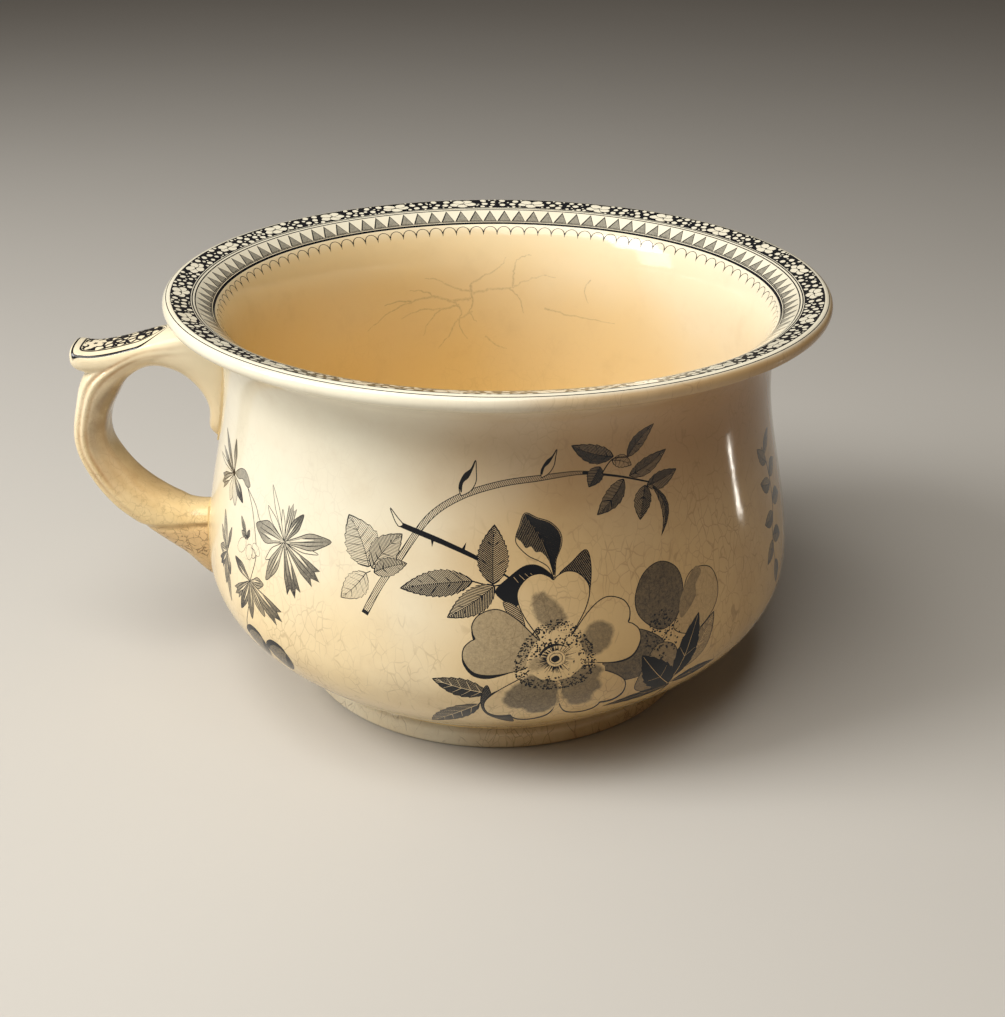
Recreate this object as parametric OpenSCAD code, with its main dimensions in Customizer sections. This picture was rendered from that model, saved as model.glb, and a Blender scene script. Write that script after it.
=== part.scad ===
// Chamber pot: a bellied earthenware bowl with an everted, beaded rim, a low
// foot ring and one moulded loop handle with a thumb rest.
// Frame: +Z up, origin at the centre of the standing plane, handle toward -X.

/* [Bowl] */
// Outside diameter over the rim bead
rim_d = 229; // [200:1:260]
// Height over the rim
pot_h = 146; // [125:1:170]
// Widest outside diameter of the belly
belly_d = 212; // [180:1:240]
// Height of the widest place
belly_z = 49; // [40:0.5:60]
// Smallest outside diameter, at the neck
neck_d = 192; // [165:1:220]
// Distance from the rim down to the neck
neck_drop = 27; // [20:0.5:38]
// Thickness of the wall
wall = 4.8; // [3:0.1:7]
// Thickness of the floor
floor_t = 5.5; // [4:0.1:9]

/* [Rim] */
// Thickness of the bead at the edge of the rim
bead_t = 5.6; // [4:0.1:9]
// Width of the flat top of the rim, inward from the bead's crest
rim_flat = 8; // [4:0.1:12]
// Fall of the flat top toward the inside
rim_fall = 2; // [0.4:0.1:3]
// Width of the sloping throat inside the flat top
throat_w = 6; // [3:0.1:9]
// Fall of the sloping throat
throat_fall = 4.1; // [3:0.1:8]

/* [Foot] */
// Diameter of the foot where it stands
foot_d = 145.5; // [120:0.5:170]
// Height of the foot ring
foot_h = 9.5; // [6:0.1:14]
// Width of the foot ring where it stands
foot_w = 7; // [5:0.1:12]
// Radius on the two standing edges
foot_edge_r = 1.6; // [0.6:0.1:2.4]
// How far the belly hangs out over the foot
foot_step = 1; // [0.4:0.1:2]

/* [Handle] */
// Width of the finger opening, from the strap to its centre
finger_w = 20; // [17:0.5:24]
// Height of the finger opening, from its crown to its centre
finger_h = 26; // [22:0.5:30]
// Distance from the neck to the centre of the finger opening
finger_out = 25; // [22:0.5:30]
// Distance from the rim down to the centre of the finger opening
finger_down = 57; // [52:0.5:62]
// Thickness of the strap at the outer leg
strap_t = 10.8; // [8:0.1:14]
// Width of the strap at the outer leg
strap_w = 22; // [17:0.5:27]
// Depth of the moulded groove along each side of the strap
groove = 0.8; // [0.2:0.1:1.2]
// How far the lower end is drawn in below its crease
web_in = 0.9; // [0.2:0.1:1.5]
// Width of the thumb rest
rest_w = 20.4; // [17:0.2:26]
// Thickness of the thumb rest's lip
rest_t = 8.8; // [6:0.1:11]
// Rise of the lip over the dip behind it
lip_rise = 1.5; // [0.5:0.1:3]
// Distance from the bead down to where the thumb rest meets the neck
rest_drop = 14.4; // [12:0.1:18]
// How far the lip stands out past the finger opening's centre
rest_out = 28.8; // [26:0.1:34]

/* [Slip] */
// Thickness of the slip that lutes the pieces together
slip = 0.8; // [0.4:0.1:1.5]
// How far the slip shows round the ends of the handle
slip_show = 0.8; // [0.2:0.1:1.5]

/* [Hidden] */
// Steps along each curve of the bowl's outline
steps = 12;
// Steps round the bead and the edges of the foot
arc_steps = 10;
// Points round the section of the strap
sec_n = 52;
// Stations between two rows of the handle's plan
sub = 5;
$fn = 96;

rim_r = rim_d / 2;
belly_r = belly_d / 2;
neck_r = neck_d / 2;
foot_r = foot_d / 2;
neck_z = pot_h - neck_drop;
bead_r = bead_t / 2;
// Centre of the bead's round section
bead_x = rim_r - bead_r;
bead_z = pot_h - bead_r;
// Radius where the belly starts, over the foot
seat_r = foot_r + foot_step;
// Inner edge of the flat top, and of the sloping throat
lip_r = bead_x - rim_flat;
lip_z = pot_h - rim_fall;
throat_r = lip_r - throat_w;
throat_z = lip_z - throat_fall;
floor_z = foot_h + floor_t;
// Angle at which the flare of the neck runs into the bead [degrees]
flare_a = 9;
// Slope of the lowest part of the belly [degrees]
seat_a = 35;

// A cubic curve and its direction
function bez(p, t) = pow(1 - t, 3) * p[0] + 3 * t * pow(1 - t, 2) * p[1]
    + 3 * t * t * (1 - t) * p[2] + pow(t, 3) * p[3];
function bez_d(p, t) = 3 * pow(1 - t, 2) * (p[1] - p[0]) + 6 * t * (1 - t) * (p[2] - p[1])
    + 3 * t * t * (p[3] - p[2]);
function right_of(d) = [d[1], -d[0]] / norm(d);

// The outside of the bowl: belly, shoulder and flare, from the foot to the bead
flare_end = [bead_x + bead_r * sin(flare_a), bead_z - bead_r * cos(flare_a)];
belly_rise = belly_z - foot_h;
shoulder_rise = (neck_z - belly_z) / 3;
flare_rise = flare_end[1] - neck_z;
belly_c = [
    [seat_r, foot_h],
    [seat_r + 0.41 * belly_rise * cos(seat_a), foot_h + 0.41 * belly_rise * sin(seat_a)],
    [belly_r, belly_z - 0.46 * belly_rise],
    [belly_r, belly_z]
];
shoulder_c = [
    [belly_r, belly_z],
    [belly_r, belly_z + shoulder_rise],
    [neck_r, neck_z - shoulder_rise],
    [neck_r, neck_z]
];
flare_c = [
    [neck_r, neck_z],
    [neck_r, neck_z + 0.62 * flare_rise],
    flare_end - 0.6 * (flare_end[0] - neck_r) * [cos(flare_a), sin(flare_a)],
    flare_end
];
outer_c = [belly_c, shoulder_c, flare_c];

// The inside of the bowl, from the throat down to the floor
inner_belly_r = belly_r - wall;
inner_neck_r = neck_r - wall;
inner_rise = belly_z - floor_z;
throat_c = [
    [throat_r, throat_z],
    [throat_r - 0.4 * throat_w, throat_z - 0.4 * throat_fall],
    [inner_neck_r, neck_z + 0.5 * (throat_z - neck_z)],
    [inner_neck_r, neck_z]
];
inner_shoulder_c = [
    [inner_neck_r, neck_z],
    [inner_neck_r, neck_z - shoulder_rise],
    [inner_belly_r, belly_z + shoulder_rise],
    [inner_belly_r, belly_z]
];
inner_belly_c = [
    [inner_belly_r, belly_z],
    [inner_belly_r, belly_z - 0.6 * inner_rise],
    [seat_r + 0.28 * inner_rise, floor_z],
    [0.5 * seat_r, floor_z]
];
inner_c = [throat_c, inner_shoulder_c, inner_belly_c];

// Points of the outside, grown by g along its normals
function outer_pts(g) = [for (c = outer_c) for (i = [0 : steps - 1])
    bez(c, i / steps) + g * right_of(bez_d(c, i / steps))];
function bead_pts(g, a1) = [for (i = [0 : arc_steps])
    let (a = -90 + flare_a + i * (a1 + 90 - flare_a) / arc_steps)
    [bead_x + (bead_r + g) * cos(a), bead_z + (bead_r + g) * sin(a)]];
function inner_pts() = [for (c = inner_c) for (i = [0 : steps - 1]) bez(c, i / steps)];

// Radius of the outside at height z, below the flare
function seek(c, z, lo, hi, n) = n == 0 ? bez(c, lo)[0] :
    let (m = (lo + hi) / 2)
    bez(c, m)[1] < z ? seek(c, z, m, hi, n - 1) : seek(c, z, lo, m, n - 1);
function wall_r(z) = z < belly_z ? seek(belly_c, z, 0, 1, 14) : seek(shoulder_c, z, 0, 1, 14);

// Handle: plan of the loop round the finger opening, one row a station:
// turn from the pot's side [degrees], inside, outside, half width, side groove
hole_x = -(neck_r + finger_out);
hole_z = pot_h - finger_down;
half = strap_w / 2;
leg = finger_w + strap_t;
plan = [
    [-4, 0.99 * finger_w, 1.4 * finger_w, 0.4 * half, 0],
    [4, 0.875 * finger_w, 1.52 * finger_w, 0.5 * half, 0],
    [14, 0.885 * finger_w, 1.6 * finger_w, 0.64 * half, 0],
    [34, 0.8 * finger_h, 1.5 * finger_h, 0.8 * half, 0],
    [58, 0.9 * finger_h, 1.84 * finger_h, 0.92 * half, 0],
    [76, 0.98 * finger_h, 1.52 * finger_h, 0.94 * half, 0.3],
    [94, finger_h, finger_h + 0.9 * strap_t, 0.95 * half, 0.9],
    [114, 0.91 * finger_h, finger_h + 0.72 * strap_t, 0.96 * half, 1],
    [136, 1.02 * finger_w, leg + 0.33 * strap_t, 0.98 * half, 1],
    [160, 0.98 * finger_w, leg + 0.065 * strap_t, half, 1],
    [186, 0.97 * finger_w, leg + 0.065 * strap_t, half, 1],
    [212, 0.93 * finger_w, leg + 0.074 * strap_t, half, 0.9],
    [236, 0.98 * finger_w, leg + 0.3 * strap_t, 0.98 * half, 0.4],
    [258, 1.11 * finger_w, leg + 0.71 * strap_t, 0.95 * half, 0],
    [275, 1.28 * finger_w, leg + 1.61 * strap_t, 0.9 * half, 0],
    [284, 1.42 * finger_w, leg + 2.78 * strap_t, 0.87 * half, 0],
    [296, 1.57 * finger_w, leg + 3.43 * strap_t, 0.85 * half, 0],
    [307, 1.7 * finger_w, leg + 3.61 * strap_t, 0.84 * half, 0]
];
last = len(plan) - 1;
function row(i) = plan[min(last, max(0, i))];
function spline(a, b, c, d, t) = 0.5 * (2 * b + (c - a) * t + (2 * a - 5 * b + 4 * c - d) * t * t
    + (3 * b - a - 3 * c + d) * t * t * t);
stations = [for (i = [0 : last]) for (k = [0 : (i == last ? 0 : sub - 1)])
    spline(row(i - 1), row(i), row(i + 1), row(i + 2), k / sub)];

function pull(v, e) = sign(v) * pow(abs(v), e);
function ease(v) = let (c = min(1, max(0, v))) c * c * (3 - 2 * c);
// Height of the crease on the lower end
crease_z = hole_z - 1.35 * finger_h;
// One point of the strap's section: a rounded oblong, grooved along both sides of
// the leg, and drawn in below the crease where the lower end meets the belly
function strap_pt(s, k) = let (
        a = 360 * k / sec_n,
        u = pull(cos(a), 0.72),
        w = pull(sin(a), 0.72),
        rad = (s[1] + s[2]) / 2 + u * (s[2] - s[1]) / 2,
        z = hole_z + rad * sin(s[0]),
        side = sign(w) * min(1, abs(w) * 2),
        dip = groove * s[4] * exp(-pow((u + 0.05) / 0.16, 2)),
        low = ease((s[0] - 240) / 20),
        web = low * ease((crease_z + 0.08 * finger_h - z) / (0.19 * finger_h)),
        taper = 1 - 0.4 * low * ease((crease_z - z) / (1.15 * finger_h)),
        y = s[3] * taper * w - side * (dip + web_in * web)
    ) [hole_x + rad * cos(s[0]), y, z];

// Faces of a tube of n rings with m points each, closed at both ends
function tube_faces(n, m) = concat(
    [[for (k = [0 : m - 1]) k]],
    [for (i = [0 : n - 2]) for (k = [0 : m - 1]) for (h = [0, 1])
        let (p = i * m + k, q = i * m + (k + 1) % m)
        h == 0 ? [p, p + m, q] : [q, p + m, q + m]],
    [[for (k = [m - 1 : -1 : 0]) (n - 1) * m + k]]
);

module strap() {
    pts = [for (s = stations) for (k = [0 : sec_n - 1]) strap_pt(s, k)];
    polyhedron(pts, tube_faces(len(stations), sec_n), convexity = 8);
}

// Thumb rest: a crowned lobe that dips behind its lip and rises to the rim
rest_n = 22;
rest_m = 32;
rest_x0 = hole_x - rest_out;
rest_x1 = -neck_r + 0.2 * wall;
// Crown of the lobe along its length: a rounded lip, a dip, then the rise to the rim
dip_z = hole_z + finger_h + 0.75 * rest_t;
rim_meet_z = bead_z - rest_drop;
function rest_top(v) = dip_z + lip_rise * pow(max(0, 0.16 - v) / 0.16, 2)
    + (rim_meet_z - dip_z) * ease((v - 0.08) / 0.7);
function bow(v) = sqrt(max(0, 1 - pow(1 - min(1, v), 2)));
function rest_pt(i, k) = let (
        v = 1 - cos(90 * i / rest_n),
        x = rest_x0 + v * (rest_x1 - rest_x0),
        a = 360 * k / rest_m,
        w = rest_w / 2 * (0.7 + 0.3 * bow(v / 0.11)),
        th = rest_t / 2 * (1 + 0.4 * v),
        rise = th * (0.7 + 0.3 * bow(v / 0.04))
    ) [x, w * pull(cos(a), 0.72), rest_top(v) - th + rise * pull(sin(a), 0.8)];

module thumb_rest() {
    pts = [for (i = [0 : rest_n]) for (k = [0 : rest_m - 1]) rest_pt(i, k)];
    polyhedron(pts, tube_faces(rest_n + 1, rest_m), convexity = 6);
}

// The room the bowl takes up, grown by the slip
module bowl_room(g) {
    rotate_extrude()
        polygon(concat([[0, foot_h]], outer_pts(g), bead_pts(g, 90), [[0, pot_h + g]]));
}

// A band of slip on the outside of the bowl, from the foot to the bead
module slip_band(turn) {
    rotate([0, 0, 180 - turn / 2])
        rotate_extrude(angle = turn)
            polygon(concat(outer_pts(0), [flare_end], [flare_end + slip * [sin(flare_a), -cos(flare_a)]],
                [for (i = [3 * steps - 1 : -1 : 0]) outer_pts(slip)[i]]));
}

module bowl() {
    color("#efe9d6")
        rotate_extrude()
            polygon(concat([[0, foot_h]], outer_pts(0), bead_pts(0, 90), [[lip_r, lip_z]], inner_pts(),
                [[0.5 * seat_r, floor_z], [0, floor_z]]));
}

module foot_ring() {
    e = foot_edge_r;
    top = foot_h - slip;
    color("#e6dcc0")
        rotate_extrude()
            polygon(concat(
                [for (i = [0 : arc_steps]) let (a = 180 + 90 * i / arc_steps)
                    [foot_r - foot_w + e + e * cos(a), e + e * sin(a)]],
                [for (i = [0 : arc_steps]) let (a = 270 + 90 * i / arc_steps)
                    [foot_r - e + e * cos(a), e + e * sin(a)]],
                [[foot_r, top], [foot_r - foot_w - foot_step, top]]));
}

module foot_slip_joint() {
    color("#d9cfae")
        translate([0, 0, foot_h - slip])
            difference() {
                cylinder(h = slip, r = foot_r + slip_show / 2);
                translate([0, 0, -1])
                    cylinder(h = slip + 2, r = foot_r - foot_w - foot_step - slip_show / 2);
            }
}

module handle() {
    color("#ece2c4")
        difference() {
            union() {
                strap();
                thumb_rest();
            }
            bowl_room(slip);
        }
}

// Turn of the band that the slip under the handle is cut from
slip_turn = 4 * asin(half / seat_r);
// Outline of the slip under the handle's upper end, seen from outside
upper_lo = hole_z + plan[0][1] * sin(plan[0][0]) - slip_show;
module handle_upper_slip_joint() {
    w = half + slip_show;
    color("#d9cfae")
        intersection() {
            slip_band(slip_turn);
            translate([-rim_r - half, 0, 0])
                rotate([90, 0, 90])
                    linear_extrude(height = rim_r + half - 0.6 * seat_r)
                        polygon([[-0.4 * w, upper_lo], [0.4 * w, upper_lo], [0.8 * w, hole_z + 0.6 * finger_h],
                            [w, rim_meet_z - rest_t], [w, rim_meet_z + slip_show],
                            [-w, rim_meet_z + slip_show], [-w, rim_meet_z - rest_t],
                            [-0.8 * w, hole_z + 0.6 * finger_h]]);
        }
}

module handle_lower_slip_joint() {
    w = 0.86 * half + slip_show;
    hi = hole_z - 1.3 * finger_w;
    color("#d9cfae")
        intersection() {
            slip_band(slip_turn);
            translate([-rim_r - half, 0, 0])
                rotate([90, 0, 90])
                    linear_extrude(height = rim_r + half - 0.6 * seat_r)
                        polygon([[-w, hi], [-w, crease_z], [-0.5 * w, foot_h + 0.45 * belly_rise],
                            [0.5 * w, foot_h + 0.45 * belly_rise], [w, crease_z], [w, hi]]);
        }
}

bowl();
foot_ring();
foot_slip_joint();
handle();
handle_upper_slip_joint();
handle_lower_slip_joint();
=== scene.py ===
import math

import bmesh
import bpy
import numpy as np
from mathutils import Matrix, Vector
from mathutils.geometry import delaunay_2d_cdt


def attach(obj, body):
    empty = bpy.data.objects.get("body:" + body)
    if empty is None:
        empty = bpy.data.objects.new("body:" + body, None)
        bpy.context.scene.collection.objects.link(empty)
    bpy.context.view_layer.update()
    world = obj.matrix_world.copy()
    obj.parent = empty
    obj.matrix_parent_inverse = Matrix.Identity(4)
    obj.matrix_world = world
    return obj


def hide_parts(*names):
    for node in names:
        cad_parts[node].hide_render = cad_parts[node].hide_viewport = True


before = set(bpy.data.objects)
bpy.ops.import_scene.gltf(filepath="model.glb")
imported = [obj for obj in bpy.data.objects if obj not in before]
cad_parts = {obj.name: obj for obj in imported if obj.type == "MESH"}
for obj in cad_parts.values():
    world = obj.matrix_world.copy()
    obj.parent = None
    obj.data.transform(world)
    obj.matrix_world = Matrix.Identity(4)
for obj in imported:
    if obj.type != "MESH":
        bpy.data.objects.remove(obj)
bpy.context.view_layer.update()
MM = 0.001

# Sizes in mm, as in the part's source
RIM_R, POT_H, BELLY_R, BELLY_Z = 114.5, 146.0, 106.0, 49.0
NECK_R, NECK_Z, WALL, FLOOR_Z = 96.0, 119.0, 4.8, 15.0
BEAD_R, RIM_FLAT, RIM_FALL, THROAT_W, THROAT_FALL = 2.8, 8.0, 2.0, 6.0, 4.1
FOOT_R, FOOT_H, FOOT_W, FOOT_E, SEAT_R, SLIP = 72.75, 9.5, 7.0, 1.6, 73.75, 0.8
BEAD_X, BEAD_Z = RIM_R - BEAD_R, POT_H - BEAD_R
LIP = (BEAD_X - RIM_FLAT, POT_H - RIM_FALL)
THROAT = (LIP[0] - THROAT_W, LIP[1] - THROAT_FALL)


def bez(p, n):
    p, t = np.array(p, float), np.linspace(0, 1, n)[:, None]
    return (1 - t) ** 3 * p[0] + 3 * t * (1 - t) ** 2 * p[1] + 3 * t * t * (1 - t) * p[2] + t**3 * p[3]


def upright(r0, z0, r1, z1):
    """The corners of a cubic that leaves and arrives upright."""
    third = (z1 - z0) / 3
    return [(r0, z0), (r0, z0 + third), (r1, z1 - third), (r1, z1)]


def line(a, b, n=200):
    t = np.linspace(0, 1, n)[:, None]
    return np.array(a, float) * (1 - t) + np.array(b, float) * t


def resample(p, step):
    """Points of a line at even steps along it."""
    s = np.r_[0, np.cumsum(np.hypot(*np.diff(p, axis=0).T))]
    e = np.linspace(0, s[-1], max(2, int(round(s[-1] / step)) + 1))
    return np.stack([np.interp(e, s, p[:, 0]), np.interp(e, s, p[:, 1])], 1)


def soften(p, sigma, step):
    """A line with its corners rounded, its ends kept."""
    k = np.arange(-int(4 * sigma / step), int(4 * sigma / step) + 1) * step
    w = np.exp(-((k / sigma) ** 2) / 2)
    w /= w.sum()
    m = len(k) // 2
    q = np.concatenate([2 * p[0] - p[m:0:-1], p, 2 * p[-1] - p[-2 : -m - 2 : -1]])
    return np.stack([np.convolve(q[:, i], w, "valid") for i in (0, 1)], 1)


# The bowl's outline: under the floor, up the outside, over the bead, down the inside
# Slopes of the flare where it meets the bead and of the belly where it leaves the foot
FLARE_DEG, SEAT_DEG = 9, 35
FA, SA = math.radians(FLARE_DEG), math.radians(SEAT_DEG)
FLARE_END = np.array((BEAD_X + BEAD_R * math.sin(FA), BEAD_Z - BEAD_R * math.cos(FA)))
rise, flare = BELLY_Z - FOOT_H, FLARE_END[1] - NECK_Z
inner_r, inner_n, inner_rise = BELLY_R - WALL, NECK_R - WALL, BELLY_Z - FLOOR_Z
belly_c = [
    (SEAT_R, FOOT_H),
    (SEAT_R + 0.41 * rise * math.cos(SA), FOOT_H + 0.41 * rise * math.sin(SA)),
    (BELLY_R, BELLY_Z - 0.46 * rise),
    (BELLY_R, BELLY_Z),
]
shoulder_c = upright(BELLY_R, BELLY_Z, NECK_R, NECK_Z)
flare_c = [
    (NECK_R, NECK_Z),
    (NECK_R, NECK_Z + 0.62 * flare),
    FLARE_END - 0.6 * (FLARE_END[0] - NECK_R) * np.array((math.cos(FA), math.sin(FA))),
    FLARE_END,
]
throat_c = [
    THROAT,
    (THROAT[0] - 0.4 * THROAT_W, THROAT[1] - 0.4 * THROAT_FALL),
    (inner_n, NECK_Z + 0.5 * (THROAT[1] - NECK_Z)),
    (inner_n, NECK_Z),
]
inner_shoulder_c = upright(inner_n, NECK_Z, inner_r, BELLY_Z)
inner_belly_c = [
    (inner_r, BELLY_Z),
    (inner_r, BELLY_Z - 0.6 * inner_rise),
    (SEAT_R + 0.28 * inner_rise, FLOOR_Z),
    (0.5 * SEAT_R, FLOOR_Z),
]
arc = np.radians(np.linspace(FLARE_DEG - 90, 90, 200))
bead = np.stack([BEAD_X + BEAD_R * np.cos(arc), BEAD_Z + BEAD_R * np.sin(arc)], 1)
outside = np.concatenate([bez(belly_c, 300)[:-1], bez(shoulder_c, 300)[:-1], bez(flare_c, 300)])
inner_runs = [bez(throat_c, 200)[:-1], bez(inner_shoulder_c, 300)[:-1], bez(inner_belly_c, 300)]
# Spacing of the outline's points, and how far its corners are rounded
STEP, ROUND = 0.1, 0.55
runs = [
    ("under", line((0, FOOT_H), (SEAT_R, FOOT_H))),
    ("outside", outside),
    ("bead", bead),
    ("flat", line((BEAD_X, POT_H), LIP)),
    ("throat", line(LIP, THROAT)),
    ("inside", np.concatenate(inner_runs)),
    ("floor", line((0.5 * SEAT_R, FLOOR_Z), (0, FLOOR_Z))),
]
raw = np.concatenate([p if i == 0 else p[1:] for i, (_, p) in enumerate(runs)])
length, marks = 0.0, {}
for name, p in runs:
    marks[name] = length
    length += float(np.hypot(*np.diff(p, axis=0).T).sum())
marks["end"] = length
contour = soften(resample(raw, STEP), ROUND, STEP)
contour[:, 0] = np.maximum(contour[:, 0], 0)
S = np.linspace(0, length, len(contour))
tangent = np.gradient(contour, axis=0)
tangent /= np.linalg.norm(tangent, axis=1)[:, None]
OUT0 = marks["outside"]


def place(deg, s):
    """Points, in metres, and normals of the bowl: turn from the front in degrees, run in mm."""
    deg, s = np.asarray(deg, float), np.asarray(s, float)
    r, z = np.interp(s, S, contour[:, 0]), np.interp(s, S, contour[:, 1])
    tr, tz = np.interp(s, S, tangent[:, 0]), np.interp(s, S, tangent[:, 1])
    a = np.radians(deg)
    p = np.stack([r * np.sin(a), -r * np.cos(a), z], -1) * MM
    n = np.stack([tz * np.sin(a), -tz * np.cos(a), -tr], -1)
    return p, n / np.linalg.norm(n, axis=-1)[..., None]


# Corners are welded on a grid of this many steps to a degree and to a mm
WELD = 2000


class Skin:
    """Collects faces on the bowl's surface by turn and run, welding equal corners."""

    def __init__(self):
        self.key, self.deg, self.run = {}, [], []
        self.faces, self.slots, self.tone, self.hatch = [], [], [], []

    def vert(self, deg, s):
        if s < 1e-6 or s > length - 1e-6:
            deg = 0.0
        k = (round((deg % 360) * WELD) % (360 * WELD), round(s * WELD))
        if k not in self.key:
            self.key[k] = len(self.deg)
            self.deg.append(deg)
            self.run.append(s)
        return self.key[k]

    def face(self, corners, slot=0, tone=None, hatch=None):
        ids = [self.vert(*c) for c in corners]
        keep = [i for i in range(len(ids)) if ids[i] != ids[i - 1]]
        if len(keep) < 3 or len({ids[i] for i in keep}) < len(keep):
            return
        self.faces.append([ids[i] for i in keep])
        self.slots.append(slot)
        self.tone += [tone[i] if tone is not None else 0.0 for i in keep]
        self.hatch += [hatch[i] if hatch is not None else 0.0 for i in keep]

    def grid(self, degs, runs, skip=None, slot=0):
        for i in range(len(runs) - 1):
            for j in range(len(degs) - 1):
                if skip is None or not skip(j, i):
                    a, b, c, d = degs[j], degs[j + 1], runs[i], runs[i + 1]
                    self.face([(a, c), (b, c), (b, d), (a, d)], slot)


def new_object(name, verts, faces, mats, slots=None, normals=None):
    me = bpy.data.meshes.new(name)
    me.from_pydata([tuple(v) for v in verts], [], faces)
    for m in mats:
        me.materials.append(m)
    if slots is not None:
        me.polygons.foreach_set("material_index", np.array(slots, np.int32))
    me.polygons.foreach_set("use_smooth", np.ones(len(me.polygons), bool))
    me.update()
    if normals is not None:
        me.normals_split_custom_set_from_vertices([tuple(n) for n in normals])
    ob = bpy.data.objects.new(name, me)
    bpy.context.collection.objects.link(ob)
    return ob


def lathe(name, profile, mat, cols=240):
    """A closed ring turned from a closed outline in mm."""
    p = np.array(profile, float)
    n, a = len(p), np.radians(np.arange(cols) * 360.0 / cols)[:, None]
    z = np.broadcast_to(p[:, 1], (cols, n))
    v = np.stack([p[:, 0] * np.sin(a), -p[:, 0] * np.cos(a), z], -1) * MM
    f = [
        [j * n + i, (j + 1) % cols * n + i, (j + 1) % cols * n + (i + 1) % n, j * n + (i + 1) % n]
        for j in range(cols)
        for i in range(n)
    ]
    return new_object(name, v.reshape(-1, 3), f, [mat])


# Sizes of the handle in mm, as in the part's source
FW, FH, FOUT, FDOWN, ST, SW = 20.0, 26.0, 25.0, 57.0, 10.8, 22.0
GROOVE, WEB_IN, REST_W, REST_T, LIP_RISE, REST_DROP, REST_OUT = 0.8, 0.9, 20.4, 8.8, 1.5, 14.4, 28.8
HX, HZ, HALF, LEG = -(NECK_R + FOUT), POT_H - FDOWN, SW / 2, FW + ST
CREASE_Z = HZ - 1.35 * FH


# Materials
class Value:
    """A number, colour or vector in a material's node tree; arithmetic on it adds nodes."""

    def __init__(self, nodes, socket):
        self.nodes, self.socket = nodes, socket

    def math(self, op, *others, clamp=False):
        return self.nodes.node("ShaderNodeMath", 0, (self, *others), operation=op, use_clamp=clamp)

    def __add__(self, other):
        return self.math("ADD", other)

    def __sub__(self, other):
        return self.math("SUBTRACT", other)

    def __mul__(self, other):
        return self.math("MULTIPLY", other)

    def __truediv__(self, other):
        return self.math("DIVIDE", other)

    def ramp(self, lo, hi, a=0.0, b=1.0):
        """A smooth step from a at lo to b at hi."""
        steps = (self, lo, hi, a, b)
        return self.nodes.node("ShaderNodeMapRange", 0, steps, interpolation_type="SMOOTHSTEP")


# Places of a mix node's factor and two colours among its inputs, and of its colour among its outputs
MIX_IN, MIX_OUT = (0, 6, 7), 2


class Nodes:
    """A material with one surface shader."""

    def __init__(self, name):
        self.mat = bpy.data.materials.new(name)
        self.mat.use_nodes = True
        self.tree = self.mat.node_tree
        self.tree.nodes.clear()
        out = self.tree.nodes.new("ShaderNodeOutputMaterial")
        self.bsdf = self.tree.nodes.new("ShaderNodeBsdfPrincipled")
        self.tree.links.new(self.bsdf.outputs[0], out.inputs[0])
        self.geo = self.node("ShaderNodeTexCoord", "Object")

    def put(self, socket, v):
        if isinstance(v, Value):
            self.tree.links.new(v.socket, socket)
        else:
            socket.default_value = v

    def node(self, kind, out, values=(), **props):
        """One output of a new node, its inputs given by place or by name."""
        n = self.tree.nodes.new(kind)
        for key, v in props.items():
            setattr(n, key, v)
        for key, v in values.items() if isinstance(values, dict) else enumerate(values):
            self.put(n.inputs[key], v)
        return Value(self, n.outputs[out])

    def parts(self, vec):
        first = self.node("ShaderNodeSeparateXYZ", 0, (vec,))
        return [Value(self, s) for s in first.socket.node.outputs]

    def mix(self, f, a, b):
        colours = [(*v, 1.0) if isinstance(v, tuple) else v for v in (a, b)]
        return self.node("ShaderNodeMix", MIX_OUT, dict(zip(MIX_IN, (f, *colours))), data_type="RGBA")

    def noise(self, scale, detail=3.0, rough=0.5):
        values = {"Vector": self.geo, "Scale": scale, "Detail": detail, "Roughness": rough}
        return self.node("ShaderNodeTexNoise", "Fac", values)

    def edges(self, vec, scale, random=1.0):
        values = {"Vector": vec, "Scale": scale, "Randomness": random}
        return self.node("ShaderNodeTexVoronoi", "Distance", values, feature="DISTANCE_TO_EDGE")

    def attr(self, name):
        return self.node("ShaderNodeAttribute", "Fac", attribute_name=name)

    def warped(self, vec, scale, amount):
        """Coordinates pushed about by a soft noise, for lines that wander."""
        push = self.node("ShaderNodeTexNoise", "Color", {"Vector": vec, "Scale": scale})
        return self.node("ShaderNodeVectorMath", 0, (push, (amount,) * 3, vec), operation="MULTIPLY_ADD")


TAN, BROWN, SHADE_GREY = (0.70, 0.47, 0.24), (0.37, 0.18, 0.06), (0.26, 0.20, 0.12)
IVORY, CREAM, AMBER = (0.83, 0.78, 0.63), (0.82, 0.65, 0.38), (0.86, 0.65, 0.30)
STAIN_AND_SHADE, CRACK, INK = (0.42, 0.25, 0.10), (0.17, 0.09, 0.035), (0.010, 0.011, 0.014)
# Run given to a fill that has no lines
PLAIN_RUN = -1000.0
# Optics of the glaze, and its shine over bare clay and over ink
GLASS_IOR, CLAY_SHINE, INK_SHINE = 1.52, 0.38, 0.2


def surface(k, fine, colour, specular, cracks=None):
    """The glaze's own gloss and ripple over a colour."""
    ripple = k.noise(130.0, 2.0) * 0.8
    height = ripple + cracks * -0.12 if cracks else ripple
    for name, v in (
        ("Base Color", colour),
        ("Roughness", fine * 0.10 + 0.05),
        ("IOR", GLASS_IOR),
        ("Specular IOR Level", specular),
        ("Normal", k.node("ShaderNodeBump", 0, {"Strength": 0.12, "Distance": 0.0006, "Height": height})),
    ):
        k.put(k.bsdf.inputs[name], v)
    return k.mat


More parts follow.
